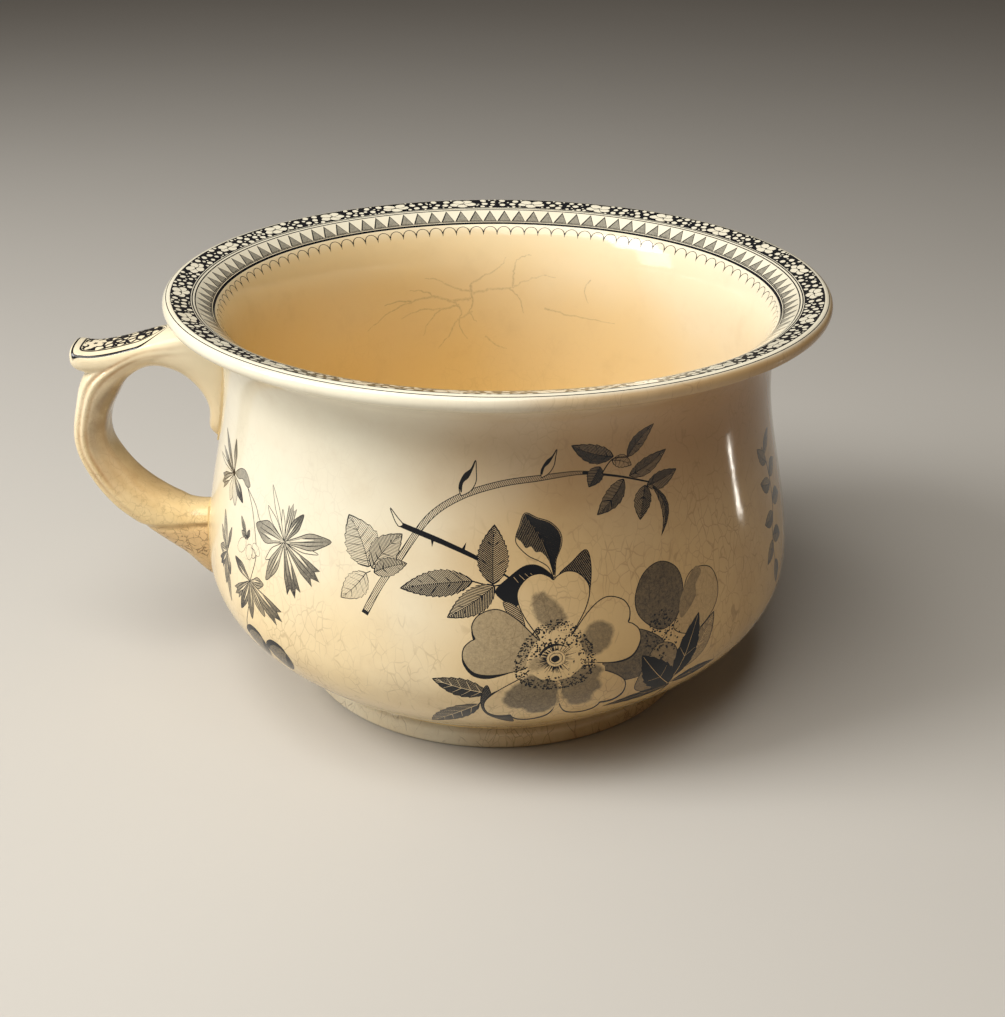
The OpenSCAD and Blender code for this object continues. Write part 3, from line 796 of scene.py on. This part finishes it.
def lobed_spray(sh):
    # Thin stems
    sh.line([(-101, 98.6), (-97.5, 96.3), (-92.8, 90.8), (-88.8, 82.4), (-87.2, 75.5), (-89.5, 66.1)], 0.34)
    sh.line([(-97.5, 96.3), (-91, 92.6), (-86.9, 88), (-80, 85.4), (-73.8, 85.6)], 0.3)
    sh.line([(-89.5, 66.1), (-90.1, 57.1), (-93.2, 47.2), (-92.6, 44.3)], 0.34)
    # Nodding flower at the top, its long sepals upward
    blades(
        sh, (-109.3, 96.6),
        (-127.6, 97.4, 1.8, 0.0), (-124.8, 101, 2.4, 0.4), (-123.2, 108, 3.4, 0.62),
        (-110.4, 108.6, 3.6, 0.7), (-120.8, 89.6, 6.2, 0.66, FORK), (-109.6, 87, 5.4, 0.16),
        (-105, 86.8, 5.6, 0.22), (-99.4, 90, 4.6, 0.92),
    )
    hood = [(-108, 97.6), (-103.7, 100.6), (-99.4, 100.8), (-95.8, 97.4), (-98.2, 96.2), (-101.6, 97.6)]
    sh.form(hood + [(-105, 96.6)], stipple(0.62), 0.24, 4)
    sh.ink(ellipse((-109.3, 97), 1.3, 1.1, n=9, wob=0.1))
    # Divided leaf: narrow lobes with toothed ends about one point
    blades(
        sh, (-73.8, 85.6),
        (-82.4, 102.4, 2.4, 0.0), (-83.8, 94.8, 3.2, 0.0), (-76.2, 96, 2.0, 0.0),
        (-59, 85.8, 2.6, 0.0), (-82, 76.8, 3.6, 0.0), (-71.2, 99.2, 4.4, 0.45, FORK),
        (-66.4, 97, 4.2, 0.8), (-54.4, 91.2, 6.4, 0.62), (-58, 76.6, 7.8, 0.78, FORK),
        (-67.4, 68.4, 7.4, 0.82, FORK), (-81, 70, 5.4, 0.6), (-89.2, 86.6, 9.0, 0.6),
    )
    # A small flower in outline with a curling style
    blades(
        sh, (-93.5, 79.4),
        (-99, 85.6, 2.6, 0.6), (-97.6, 81, 2.4, 0.5), (-92.6, 83, 2.2, 0.7),
    )
    for x, y, rx, ry, turn in (
        (-96.4, 76.4, 3.4, 2.2, 0.9),
        (-91.4, 75.8, 2.8, 2.0, 1.5),
        (-87.6, 78, 2.4, 1.6, -0.6),
    ):
        sh.outlined(ellipse((x, y), rx, ry, turn, 12, 0.05), 0.16)
    sh.line([(-90.6, 77.6), (-88.4, 77.4), (-87.6, 75.6), (-89, 74.4), (-90, 75.6)], 0.24)
    # Second flower, leaves and two dark petals lower down
    blades(
        sh, (-106.8, 69.4),
        (-114.2, 76.2, 2.8, 0.4), (-112.8, 82.4, 3.6, 0.5), (-105, 79, 2.4, 0.62),
        (-113.8, 68.6, 4.4, 0.62), (-102.8, 52.4, 3.2, 0.5), (-106.6, 57.6, 4.6, 0.72),
        (-103.2, 62.4, 3.8, 0.8), (-112.2, 62.8, 5.0, 0.94, FORK),
    )
    blades(
        sh, (-89.5, 66.1),
        (-100.2, 70.6, 4.4, 0.84), (-82, 67.8, 4.4, 0.6), (-81, 56.6, 5.2, 0.6),
        (-72.6, 57.8, 7.6, 0.8, FORK), (-99.2, 57.6, 5.0, 0.7, FORK), (-95.2, 53.6, 4.6, 0.86),
        (-88.4, 52.6, 4.2, 0.76),
    )
    outer = np.array([(-5.6, 1.6), (-1.4, 5.8), (4, 4.6), (5.2, -0.6), (1.6, -5.6), (-2.6, -3.6)])
    shade = np.array([(4, 4), (4.8, -0.6), (1.6, -5), (2.2, -0.4)])
    for at in ((-88.4, 41.8), (-76.8, 41.2)):
        form = loop(outer + at, 5)
        sh.ink(form + np.array((-0.8, 1.7)))
        sh.outlined(form, 0.4, stipple(0.84))
        sh.ink(loop(shade + at, 4))


def side_sprig(sh):
    sh.line([(113, 105), (117.4, 96), (118, 84), (113.6, 72), (114.6, 62)], np.linspace(0.7, 0.4, 25))
    sh.leaves(
        (114.6, 102, 123.4, 108.6, 5.2, 0.78), (116.6, 98.4, 108, 106, 5.0, 0.7),
        (118, 93, 127.4, 96, 6.0, 0.84), (117.8, 90, 108, 93.6, 5.6, 0.76),
        (117.8, 84, 128, 82.4, 6.4, 0.88), (116.6, 79.6, 107.4, 79, 5.8, 0.8),
        (113.8, 72.4, 123, 69, 6.2, 0.86), (113.6, 71, 106.8, 64.4, 5.4, 0.72),
        (114.6, 63, 117.4, 52.6, 5.4, 0.82), bend=0.5, teeth=6, veins=4, pale=2.0,
    )


def inside(q, p):
    """Which points q lie within the closed line p."""
    a, b = p, np.roll(p, -1, 0)
    x, y = q[:, :1], q[:, 1:]
    over = (a[:, 1] > y) != (b[:, 1] > y)
    cut = (b[:, 0] - a[:, 0]) * (y - a[:, 1]) / (b[:, 1] - a[:, 1] + 1e-30) + a[:, 0]
    return (over & (x < cut)).sum(1) % 2 == 1


# Corners of the print nearer than this become one; shapes stay this far inside their block; in mm
JOIN, INSET = 1e-3, 0.03


def inlay(skin, turns, runs, base, scale, shapes, ground=GLAZE_SLOT, copies=(0.0,)):
    """Fills a block of the grid, cut along the shapes that lie in it; a face takes the topmost one."""
    us, vs = np.asarray(turns) * scale, np.asarray(runs) - base
    pts = [(u, v) for v in vs for u in us]
    nu, nv = len(us), len(vs)
    ring = list(range(nu)) + [(i + 1) * nu - 1 for i in range(1, nv)]
    ring += [(nv - 1) * nu + i for i in range(nu - 2, -1, -1)] + [i * nu for i in range(nv - 2, 0, -1)]
    edges = list(zip(ring, ring[1:] + ring[:1]))
    corner = np.array((us[0], vs[0])), np.array((us[-1], vs[-1]))
    shapes = [(np.clip(p, corner[0] + INSET, corner[1] - INSET), *rest) for p, *rest in shapes]
    for p, _, _ in shapes:
        k = len(pts)
        edges += [(k + i, k + (i + 1) % len(p)) for i in range(len(p))]
        pts += [tuple(x) for x in p]
    centre = (corner[0] + corner[1]) / 2
    near_zero = [Vector(x) for x in np.array(pts) - centre]
    out, _, tris, given, _, _ = delaunay_2d_cdt(near_zero, edges, [], 0, JOIN, True)
    out = np.array([pts[g[0]] if g else centre + v for v, g in zip(out, given)])
    tris = np.array(tris)
    corners = out[tris]
    mid = corners.mean(1)
    top = np.full(len(tris), -1)
    for k, (p, _, _) in enumerate(shapes):
        near = np.nonzero(((mid >= p.min(0)) & (mid <= p.max(0))).all(1))[0]
        top[near[inside(mid[near], p)]] = k
    for p, c, k in zip(corners, mid, top):
        slot, look = (ground, None) if k < 0 else shapes[k][1:]
        tone, hatch = look(p, c) if look else (None, None)
        for turn in copies:
            skin.face([(x / scale + turn, y + base) for x, y in p], slot, tone, hatch)


# The rim's border, in mm of run from the bead's outermost point, and the radii it is unrolled at
RIM0 = marks["bead"] + BEAD_R * math.radians(90 - FLARE_DEG)
PEBBLE, VANDYKE, SCALLOP = (4.5, 11.4), (13.3, 18.95), (20.75, 26.0)
PEBBLE_R, VANDYKE_R, SCALLOP_R = 108.0, 101.0, 94.0
UNITS, BLOSSOMS = 108, 24
RIM_LINES = [(2.85, 3.15), (11.65, 12.1), (12.7, 13.15), (19.0, 19.35), (19.6, 20.55)]


# Cells of the ground are tried from the largest down, and kept where they have room
CELL_RADII = [1.15] * 60 + [0.9] * 160 + [0.7] * 260 + [0.42] * 260


def border(draw, radius, units, shift=0.0):
    """A ring of like units: the scale that it is unrolled at, and its shapes."""
    k, sh = math.radians(radius), Sheet()
    span = 360.0 / units * k
    for i in range(units):
        draw(sh, -180 * k + (i + shift) * span, span)
    return k, sh.shapes


def pebbles(sh, c, span):
    """Cream cells on a dark ground, about a blossom at c."""
    lo, hi = PEBBLE
    mid, cells = (lo + hi) / 2, []
    for r in CELL_RADII:
        u = c + rng.uniform(-0.5, 0.5) * (span - 2.4 * r)
        v = rng.uniform(lo + 0.85 * r, hi - 0.85 * r)
        if ((u - c) / (5.9 + 1.15 * r)) ** 2 + ((v - mid) / (3.3 + r)) ** 2 < 1:
            continue
        if all(math.hypot((u - x) / 1.25, (v - y) / 0.9) > r + q + 0.38 for x, y, q in cells):
            cells.append((u, v, r))
            sh.fill(ellipse((u, v), 1.12 * r, 0.88 * r, rng.uniform(-0.3, 0.3), 7, 0.1))
    for a in (18, 90, 162, 234, 306):
        w = math.radians(a + 12 * rng.uniform(-1, 1))
        q = (c + 3.2 * math.cos(w), mid + 1.65 * math.sin(w))
        sh.outlined(ellipse(q, 2.4, 1.5, 0.2 * math.sin(2 * w), 10, 0.08), 0.26)
    sh.ink(ellipse((c, mid), 0.6, 0.45, n=6))


def vandyke(sh, a, step):
    """A grained triangle, its point outward, with a heavier side."""
    lo, hi = VANDYKE
    tip, left, right = a + step / 2, a + 0.02 * step, a + 0.98 * step
    sh.ink([(left, hi - 0.05), (tip, lo + 0.05), (right, hi - 0.05)])
    sh.fill([(left + 0.38, hi - 0.32), (tip - 0.08, lo + 0.8), (right - 0.78, hi - 0.32)], stipple(0.66))


def scallop(sh, a, step):
    """A thin arch under the border, with dark points where it meets the next."""
    hi = SCALLOP[1]
    t = np.radians(np.linspace(8, 172, 11))
    arch = np.stack([a + step / 2 - 0.49 * step * np.cos(t), hi - 1.7 - 2.7 * np.sin(t)], 1)
    sh.ink(ribbon(arch, np.interp(np.arange(11), (0, 3, 7, 10), (0.44, 0.25, 0.25, 0.44))))
    for x in (a + 0.02, a + step - 0.36):
        sh.ink([(x, hi - 2.6), (x + 0.34, hi - 2.6), (x + 0.34 * (x > a + 1), hi - 0.7)])


def age_cracks(sh):
    """Brown branching cracks on the inside of the back wall, U from the back's middle."""
    for wide, pts in (
        (0.7, [(10.9, 49.0), (19.2, 46.5), (26.2, 42.8), (33, 41.6)]),
        (0.9, [(11.8, 51.2), (19.2, 52.0), (29.2, 50.0), (39.3, 51.0), (51.1, 55.2), (60, 61)]),
        (0.7, [(17.0, 54.2), (24.9, 55.5), (34.9, 55.2), (44, 58)]),
        (0.8, [(10.9, 49.0), (3.9, 47.8), (-5.7, 47.0), (-12.7, 43.8), (-20.9, 41.2), (-26.6, 41.5)]),
        (0.6, [(11.8, 45.5), (6.5, 42.2), (-0.9, 38.2), (-4, 34)]),
        (0.6, [(-7.4, 47.0), (-7.4, 41.0), (-8.3, 36.0), (-12.7, 33.2), (-15.3, 33.0)]),
        (0.7, [(10.9, 57.2), (17.9, 61.2), (20.5, 67.0), (26, 74)]),
        (0.6, [(-21.4, 55.2), (-31.0, 57.2), (-42.8, 58.0), (-54.5, 58.2)]),
        (0.6, [(5.2, 69.0), (-0.4, 73.5), (-4.4, 75.0)]),
        (0.8, [(11.8, 45.5), (11.6, 49.0), (10.9, 52.0), (12.2, 57.5), (9, 62)]),
        (0.4, [(-43, 41), (-40, 46), (-42, 51)]),
        (0.6, [(28, 50.4), (33, 47), (40, 46)]),
        (0.6, [(39, 51), (44, 50), (52, 51)]),
        (0.6, [(20.5, 52), (16, 56), (17, 63), (13, 70)]),
        (0.5, [(25, 55.5), (30, 60), (33, 67)]),
        (0.5, [(-5.7, 47), (-10, 51), (-12, 58)]),
    ):
        path = spline([(SHEET * 180 + u, v) for u, v in pts], 5)
        path[1:-1] += rng.normal(0, 0.22, path[1:-1].shape)
        tone = rng.uniform(0.17, 0.25)
        sh.fill(ribbon(path, np.linspace(1.9 * wide, 0.4, len(path))), stipple(0.45 * tone))
        sh.fill(ribbon(path, np.linspace(0.6 * wide, 0.1, len(path))), stipple(tone))


# The bowl
COLS = 240
COL = 360.0 / COLS
degs = np.arange(COLS + 1) * 360.0 / COLS - 180.0
# Columns of the print to each side, its first row, and the runs where it and the cracks end
HALF_COLS, FIRST_ROW, PRINT_TOP, CRACK_TOP = 50, 2, 136, 84
# Heights of the grid's rows in mm: underside, outside, bead, border, arches, inside
UNDER_ROW, OUT_ROW, BEAD_ROW, RIM_ROW, ARCH_ROW, IN_ROW = 12.0, 3.1, 0.7, 0.9, 1.3, 5.0


def rows(a, b, step):
    return np.linspace(a, b, max(2, int(round((b - a) / step)) + 1))


def front(j):
    return abs(degs[j] + COL / 2) < HALF_COLS * COL


def back(j):
    return abs(degs[j] + COL / 2) > 180 - HALF_COLS * COL


skin = Skin()
skin.grid(degs, rows(0, OUT0, UNDER_ROW))
out_rows = rows(OUT0, marks["bead"], OUT_ROW)
last_row = int(np.searchsorted(out_rows, OUT0 + PRINT_TOP))
skin.grid(degs, out_rows, lambda j, i: FIRST_ROW <= i < last_row and (front(j) or back(j)))
sprays, cracks = Sheet(), Sheet()
for draw in (rose_spray, lobed_spray, side_sprig):
    draw(sprays)
turns = np.arange(-HALF_COLS, HALF_COLS + 1) * COL
inlay(skin, turns, out_rows[FIRST_ROW : last_row + 1], OUT0, SHEET, sprays.shapes, copies=(0.0, 180.0))

skin.grid(degs, rows(marks["bead"], RIM0 + RIM_LINES[0][0], BEAD_ROW))
stops = sorted([q for l in RIM_LINES for q in l] + list(PEBBLE) + list(VANDYKE) + [SCALLOP[0]])
for lo, hi in zip(stops, stops[1:]):
    part = rows(RIM0 + lo, RIM0 + hi, RIM_ROW)
    if (lo, hi) == PEBBLE:
        inlay(skin, degs, part, RIM0, *border(pebbles, PEBBLE_R, BLOSSOMS, 0.5), ground=INK_SLOT)
    elif (lo, hi) == VANDYKE:
        inlay(skin, degs, part, RIM0, *border(vandyke, VANDYKE_R, UNITS))
    else:
        skin.grid(degs, part, slot=INK_SLOT if (lo, hi) in RIM_LINES else GLAZE_SLOT)
arch_rows = rows(RIM0 + SCALLOP[0], RIM0 + SCALLOP[1], ARCH_ROW)
inlay(skin, degs, arch_rows, RIM0, *border(scallop, SCALLOP_R, UNITS))
wall_rows = rows(RIM0 + SCALLOP[1], marks["floor"], IN_ROW)
crack_end = int(np.searchsorted(wall_rows, RIM0 + CRACK_TOP))
skin.grid(degs, wall_rows, lambda j, i: i < crack_end and back(j))
age_cracks(cracks)
inlay(skin, turns + 180.0, wall_rows[: crack_end + 1], RIM0, SHEET, cracks.shapes)
skin.grid(degs, rows(marks["floor"], length, IN_ROW))
p, n = place(skin.deg, skin.run)
bowl = new_object("bowl_printed", p, skin.faces, [bowl_glaze, ink], skin.slots, n)
me = bowl.data
along = np.array(skin.run)
for name, domain, values in (
    ("inner", "POINT", np.clip((along - marks["throat"] - 3.0) / 11.0, 0, 1)),
    ("side", "POINT", np.clip((RIM0 + 3.2 - along) / 1.6, 0, 1)),
    ("tone", "CORNER", skin.tone),
    ("hatch", "CORNER", skin.hatch),
):
    me.attributes.new(name, "FLOAT", domain).data.foreach_set("value", np.array(values, np.float32))
# A map for baking, in mm: the outside in two halves, the rim in two strips, the inside and the discs
# smaller, all in a square of this size with this margin; where the patches lie, and their radii
ATLAS, MARGIN, SMALL = 424, 3, 0.4
UNDER_AT, FLOOR_AT, HALF_HIGH, RIM_AT, RIM_HIGH, WALL_AT = (374, 349), (362, 396), 158, 317, 34, 342
OUT_MAP_R, RIM_MAP_R, WALL_MAP_R, WALL_HIGH = 106, 108, 48, 0.45
sizes = np.array([len(f) for f in skin.faces])
face_of, ids = np.repeat(np.arange(len(sizes)), sizes), np.concatenate(skin.faces)
d, s = np.array(skin.deg)[ids], np.array(skin.run)[ids]
first = d[np.cumsum(sizes) - sizes][face_of]
d = first + (d - first + 180) % 360 - 180
mean = lambda a: (np.bincount(face_of, a) / sizes)[face_of]
from_left, run = (mean(d) + 90) % 360, mean(s)
rear = from_left >= 180
round_ = np.radians(d - mean(d) + from_left)
half_round = round_ - math.pi * rear
flat = p[ids, :2] / MM
bead0, wall0 = marks["bead"], RIM0 + SCALLOP[1]
uv = np.zeros((len(ids), 2))
for hit, u, v in (
    (run < OUT0, UNDER_AT[0] + SMALL * flat[:, 0], UNDER_AT[1] + SMALL * flat[:, 1]),
    ((run > OUT0) & (run < bead0), half_round * OUT_MAP_R, s - OUT0 + HALF_HIGH * rear),
    ((run > bead0) & (run < wall0), half_round * RIM_MAP_R, RIM_AT + s - bead0 + RIM_HIGH * rear),
    ((run > wall0) & (run < marks["floor"]), WALL_AT + WALL_HIGH * (s - wall0), round_ * WALL_MAP_R),
    (run > marks["floor"], FLOOR_AT[0] + SMALL * flat[:, 0], FLOOR_AT[1] + SMALL * flat[:, 1]),
):
    uv[hit] = np.stack([u, v], 1)[hit]
uv = ((uv + MARGIN) / ATLAS).astype(np.float32)
me.uv_layers.new(name="OFBake").data.foreach_set("uv", uv.ravel())
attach(bowl, "root")
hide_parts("bowl")

# Foot ring and its slip
e, top = FOOT_E, FOOT_H - SLIP
q = np.radians(np.linspace(0, 90, 9))
inside_x = FOOT_R - FOOT_W + e
ring = [(inside_x - e * math.cos(a), e - e * math.sin(a)) for a in q]
ring += [(FOOT_R - e + e * math.sin(a), e - e * math.cos(a)) for a in q]
ring += [(FOOT_R, top * 0.5), (FOOT_R, top), (FOOT_R - FOOT_W - 1.0, top)]
foot = lathe("foot_turned", ring, foot_glaze)
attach(foot, "root")
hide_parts("foot_ring")

# The handle's rows: turn about the finger opening, inner and outer radius, half width as a share, mouldings
plan = np.array([
    (-4, 0.99 * FW, 1.4 * FW, 0.4, 0),
    (4, 0.875 * FW, 1.52 * FW, 0.5, 0),
    (14, 0.885 * FW, 1.6 * FW, 0.64, 0),
    (34, 0.8 * FH, 1.5 * FH, 0.8, 0),
    (58, 0.9 * FH, 1.84 * FH, 0.92, 0),
    (76, 0.98 * FH, 1.52 * FH, 0.94, 0.3),
    (94, FH, FH + 0.9 * ST, 0.95, 0.9),
    (114, 0.91 * FH, FH + 0.72 * ST, 0.96, 1),
    (136, 1.02 * FW, LEG + 0.33 * ST, 0.98, 1),
    (160, 0.98 * FW, LEG + 0.065 * ST, 1, 1),
    (186, 0.97 * FW, LEG + 0.065 * ST, 1, 1),
    (212, 0.93 * FW, LEG + 0.074 * ST, 1, 0.9),
    (236, 0.98 * FW, LEG + 0.3 * ST, 0.98, 0.4),
    (258, 1.11 * FW, LEG + 0.71 * ST, 0.95, 0),
    (275, 1.28 * FW, LEG + 1.61 * ST, 0.9, 0),
    (284, 1.42 * FW, LEG + 2.78 * ST, 0.87, 0),
    (296, 1.57 * FW, LEG + 3.43 * ST, 0.85, 0),
    (307, 1.7 * FW, LEG + 3.61 * ST, 0.84, 0),
])
plan[:, 3] *= HALF


def ease(v):
    c = np.clip(v, 0, 1)
    return c * c * (3 - 2 * c)


def pull(v, power):
    return np.sign(v) * np.abs(v) ** power


# Places of the strap's two quirks, from its inner face at -1 to its outer one at 1
QUIRKS = (0.44, 0.02)


def strap_points(sub, m):
    """The strap: rounded sections about the finger opening, by turn and by place round the section."""
    s = spline(plan, sub)
    a = np.radians(np.arange(m) * 360.0 / m)[None, :]
    u, w = pull(np.cos(a), 0.72), pull(np.sin(a), 0.72)
    turn, r0, r1, hw, cut = (s[:, i : i + 1] for i in range(5))
    rad = (r0 + r1) / 2 + u * (r1 - r0) / 2
    z = HZ + rad * np.sin(np.radians(turn))
    side = np.sign(w) * np.minimum(1, np.abs(w) * 2)
    # Across the side from the outer edge: a roll, a bead between two quirks, and a hollow panel
    quirks = sum(np.exp(-(((u - at) / 0.12) ** 2)) for at in QUIRKS)
    panel = ease((0.04 - u) / 0.3) * ease((u + 1) / 0.3)
    dip = GROOVE * cut * (1.2 * quirks + 1.5 * panel)
    low = ease((turn - 240) / 20)
    web = low * ease((CREASE_Z + 0.05 * FH - z) / (0.1 * FH))
    web = web + 1.3 * low * np.exp(-(((z - CREASE_Z) / 0.9) ** 2))
    taper = 1 - 0.4 * low * ease((CREASE_Z - z) / (1.15 * FH))
    y = hw * taper * w - side * (dip + WEB_IN * web)
    return np.stack([HX + rad * np.cos(np.radians(turn)), y, z], -1)


def rest_points(n, m):
    """The thumb rest: rounded sections from its lip to the neck."""
    v = (1 - np.cos(np.radians(90 * np.arange(n + 1) / n)))[:, None]
    x0, x1 = HX - REST_OUT, -NECK_R + 0.2 * WALL
    dip, meet = HZ + FH + 0.75 * REST_T, BEAD_Z - REST_DROP
    topz = dip + LIP_RISE * (np.maximum(0, 0.16 - v) / 0.16) ** 2 + (meet - dip) * ease((v - 0.08) / 0.7)
    bow = lambda x: np.sqrt(np.maximum(0, 1 - (1 - np.minimum(1, x)) ** 2))
    a = np.radians(np.arange(m) * 360.0 / m)[None, :]
    w = REST_W / 2 * (0.7 + 0.3 * bow(v / 0.11))
    th = REST_T / 2 * (1 + 0.4 * v)
    up = th * (0.7 + 0.3 * bow(v / 0.04))
    x = np.broadcast_to(x0 + v * (x1 - x0), (n + 1, m))
    return np.stack([x, w * pull(np.cos(a), 0.72), topz - th + up * pull(np.sin(a), 0.8)], -1)


def tube(pts):
    """A closed skin over rings of points."""
    n, m, _ = pts.shape
    f = [list(range(m)), [(n - 1) * m + k for k in range(m - 1, -1, -1)]]
    for i in range(n - 1):
        for k in range(m):
            a, b = i * m + k, i * m + (k + 1) % m
            f.append([a, a + m, b + m, b])
    return pts.reshape(-1, 3) * MM, f


# Edges shorter than this are closed up where the handle is cut to the wall, and the skin's grid, in metres
SLIVER, VOXEL = 0.03 * MM, 0.5 * MM
# Stations to a row of the handle's plan, points round it, sections of the thumb rest and points round that
SUB, STRAP_RING, REST_ROWS, REST_RING = 12, 240, 60, 72

va, fa = tube(strap_points(SUB, STRAP_RING))
vb, fb = tube(rest_points(REST_ROWS, REST_RING))
fa += [[i + len(va) for i in g] for g in fb]
handle = new_object("handle_moulded", np.concatenate([va, vb]), fa, [handle_glaze])
mod = handle.modifiers.new("skin", "REMESH")
mod.mode, mod.voxel_size, mod.use_smooth_shade = "VOXEL", VOXEL, True
mod = handle.modifiers.new("soft", "SMOOTH")
mod.factor, mod.iterations = 0.5, 3
room = np.concatenate([outside, bead[1:]])
out_n = np.gradient(room, axis=0)
out_n = np.stack([out_n[:, 1], -out_n[:, 0]], 1) / np.linalg.norm(out_n, axis=1)[:, None]
wall_line = resample(room + SLIP * out_n, 1.5)
# The cutter is a ring of these columns, with its inside well within the wall
CUTTER_COLS, CUTTER_IN = 180, 30
wall_line = [(CUTTER_IN, FOOT_H)] + [tuple(x) for x in wall_line] + [(CUTTER_IN, POT_H)]
cutter = lathe("cutter", wall_line, handle_glaze, CUTTER_COLS)
mod = handle.modifiers.new("seat", "BOOLEAN")
mod.operation, mod.object, mod.solver = "DIFFERENCE", cutter, "EXACT"
shape = bpy.data.meshes.new_from_object(handle.evaluated_get(bpy.context.evaluated_depsgraph_get()))
handle.modifiers.clear()
handle.data = shape
bm = bmesh.new()
bm.from_mesh(shape)
bmesh.ops.dissolve_degenerate(bm, edges=bm.edges, dist=SLIVER)
bmesh.ops.triangulate(bm, faces=bm.faces)
bm.to_mesh(shape)
bm.free()
bpy.data.objects.remove(cutter)
shape.materials.clear()
shape.materials.append(handle_glaze)
shape.polygons.foreach_set("material_index", np.zeros(len(shape.polygons), np.int32))
shape.polygons.foreach_set("use_smooth", np.ones(len(shape.polygons), bool))
# Darker along the quirks and, fainter, over the hollow panel, where it is painted shade
at = np.empty(3 * len(shape.vertices))
shape.vertices.foreach_get("co", at)
at = at.reshape(-1, 3) / MM - (HX, 0, HZ)
turn, reach = np.degrees(np.arctan2(at[:, 2], at[:, 0])), np.hypot(at[:, 0], at[:, 2])
# Turns start where the lower end stops
stations, start = spline(plan, SUB), plan[-1, 0] - 360
turn = (turn - start) % 360 + start
r0, r1, hw, cut = (np.interp(turn, stations[:, 0], stations[:, i]) for i in (1, 2, 3, 4))
u = (2 * reach - r0 - r1) / (r1 - r0)
quirk_and_panel_dark = sum(np.exp(-(((u - at_) / 0.11) ** 2)) for at_ in QUIRKS) + 0.4 * ease((0.04 - u) / 0.3)
quirk_and_panel_dark *= cut * (np.abs(at[:, 1]) > 0.4 * hw)
shape.attributes.new("groove", "FLOAT", "POINT").data.foreach_set("value", quirk_and_panel_dark.astype(np.float32))
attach(handle, "root")
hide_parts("handle")

# Slip seams keep their solids and take the glaze
for node in ("foot_slip_joint", "handle_upper_slip_joint", "handle_lower_slip_joint"):
    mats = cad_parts[node].data.materials
    mats.clear()
    mats.append(slip_glaze)

# Floor, light and camera
FLOOR = 6
corners = [(x * FLOOR, y * FLOOR, 0) for x, y in ((-1, -1), (1, -1), (1, 1), (-1, 1))]
floor = new_object("studio_floor", corners, [[0, 1, 2, 3]], [])
k = Nodes("studio_floor")
k.put(k.bsdf.inputs["Base Color"], k.mix(k.noise(3.0), (0.51, 0.49, 0.46), (0.54, 0.52, 0.49)))
k.bsdf.inputs["Roughness"].default_value = 0.75
floor.data.materials.append(k.mat)


def area(name, loc, aim, size, power, colour):
    d = bpy.data.lights.new(name, "AREA")
    d.shape, d.size, d.size_y = "RECTANGLE", size[0], size[1]
    d.energy, d.color = power, colour
    o = bpy.data.objects.new(name, d)
    o.location = loc
    o.rotation_mode = "QUATERNION"
    o.rotation_quaternion = (Vector(aim) - Vector(loc)).to_track_quat("-Z", "Y")
    bpy.context.collection.objects.link(o)


DAYLIGHT = (1.0, 0.985, 0.95)
area("key", (-1.09, -0.355, 1.03), (0, 0, 0.07), (0.6, 0.6), 15.6, DAYLIGHT)
area("window", (-1.4, -0.27, 0.62), (0, 0, 0.07), (0.45, 0.45), 3.8, DAYLIGHT)
area("top", (-0.25, -0.46, 1.15), (0, 0, 0.1), (0.9, 0.9), 12.0, (1.0, 0.97, 0.90))
area("fill", (1.0, -0.75, 0.5), (0, 0, 0.07), (0.5, 0.6), 0.2, (1.0, 0.72, 0.45))
area("spark", (0.34, 0.018, 0.03), (0.078, -0.062, 0.09), (0.005, 0.010), 0.006, (1.0, 0.94, 0.84))
world = bpy.data.worlds.new("studio")
world.use_nodes = True
sky = world.node_tree.nodes["Background"].inputs
sky[0].default_value, sky[1].default_value = (1.0, 0.82, 0.64, 1), 0.07
bpy.context.scene.world = world
bpy.context.scene.view_settings.view_transform = "Standard"

# The photo's camera: focal length over the picture's height, in pixels, and the way it looks
FOCAL, PICTURE, SENSOR = 1500.0, 1017.0, 36.0
EYE = Vector((-2.1, -504.4, 297.6)) * MM
RIGHT = Vector((0.99997, -0.00593, 0.00464))
UP = Vector((-0.00164, 0.42997, 0.90284))
AHEAD = Vector((0.00734, 0.90282, -0.42995))
cam = bpy.data.cameras.new("camera")
cam.lens, cam.sensor_width = FOCAL / PICTURE * SENSOR, SENSOR
cam.clip_start, cam.clip_end = 0.01, 20.0
eye = bpy.data.objects.new("camera", cam)
m = Matrix((RIGHT, UP, -AHEAD)).transposed().to_4x4()
m.translation = EYE
eye.matrix_world = m
bpy.context.collection.objects.link(eye)
bpy.context.scene.camera = eye
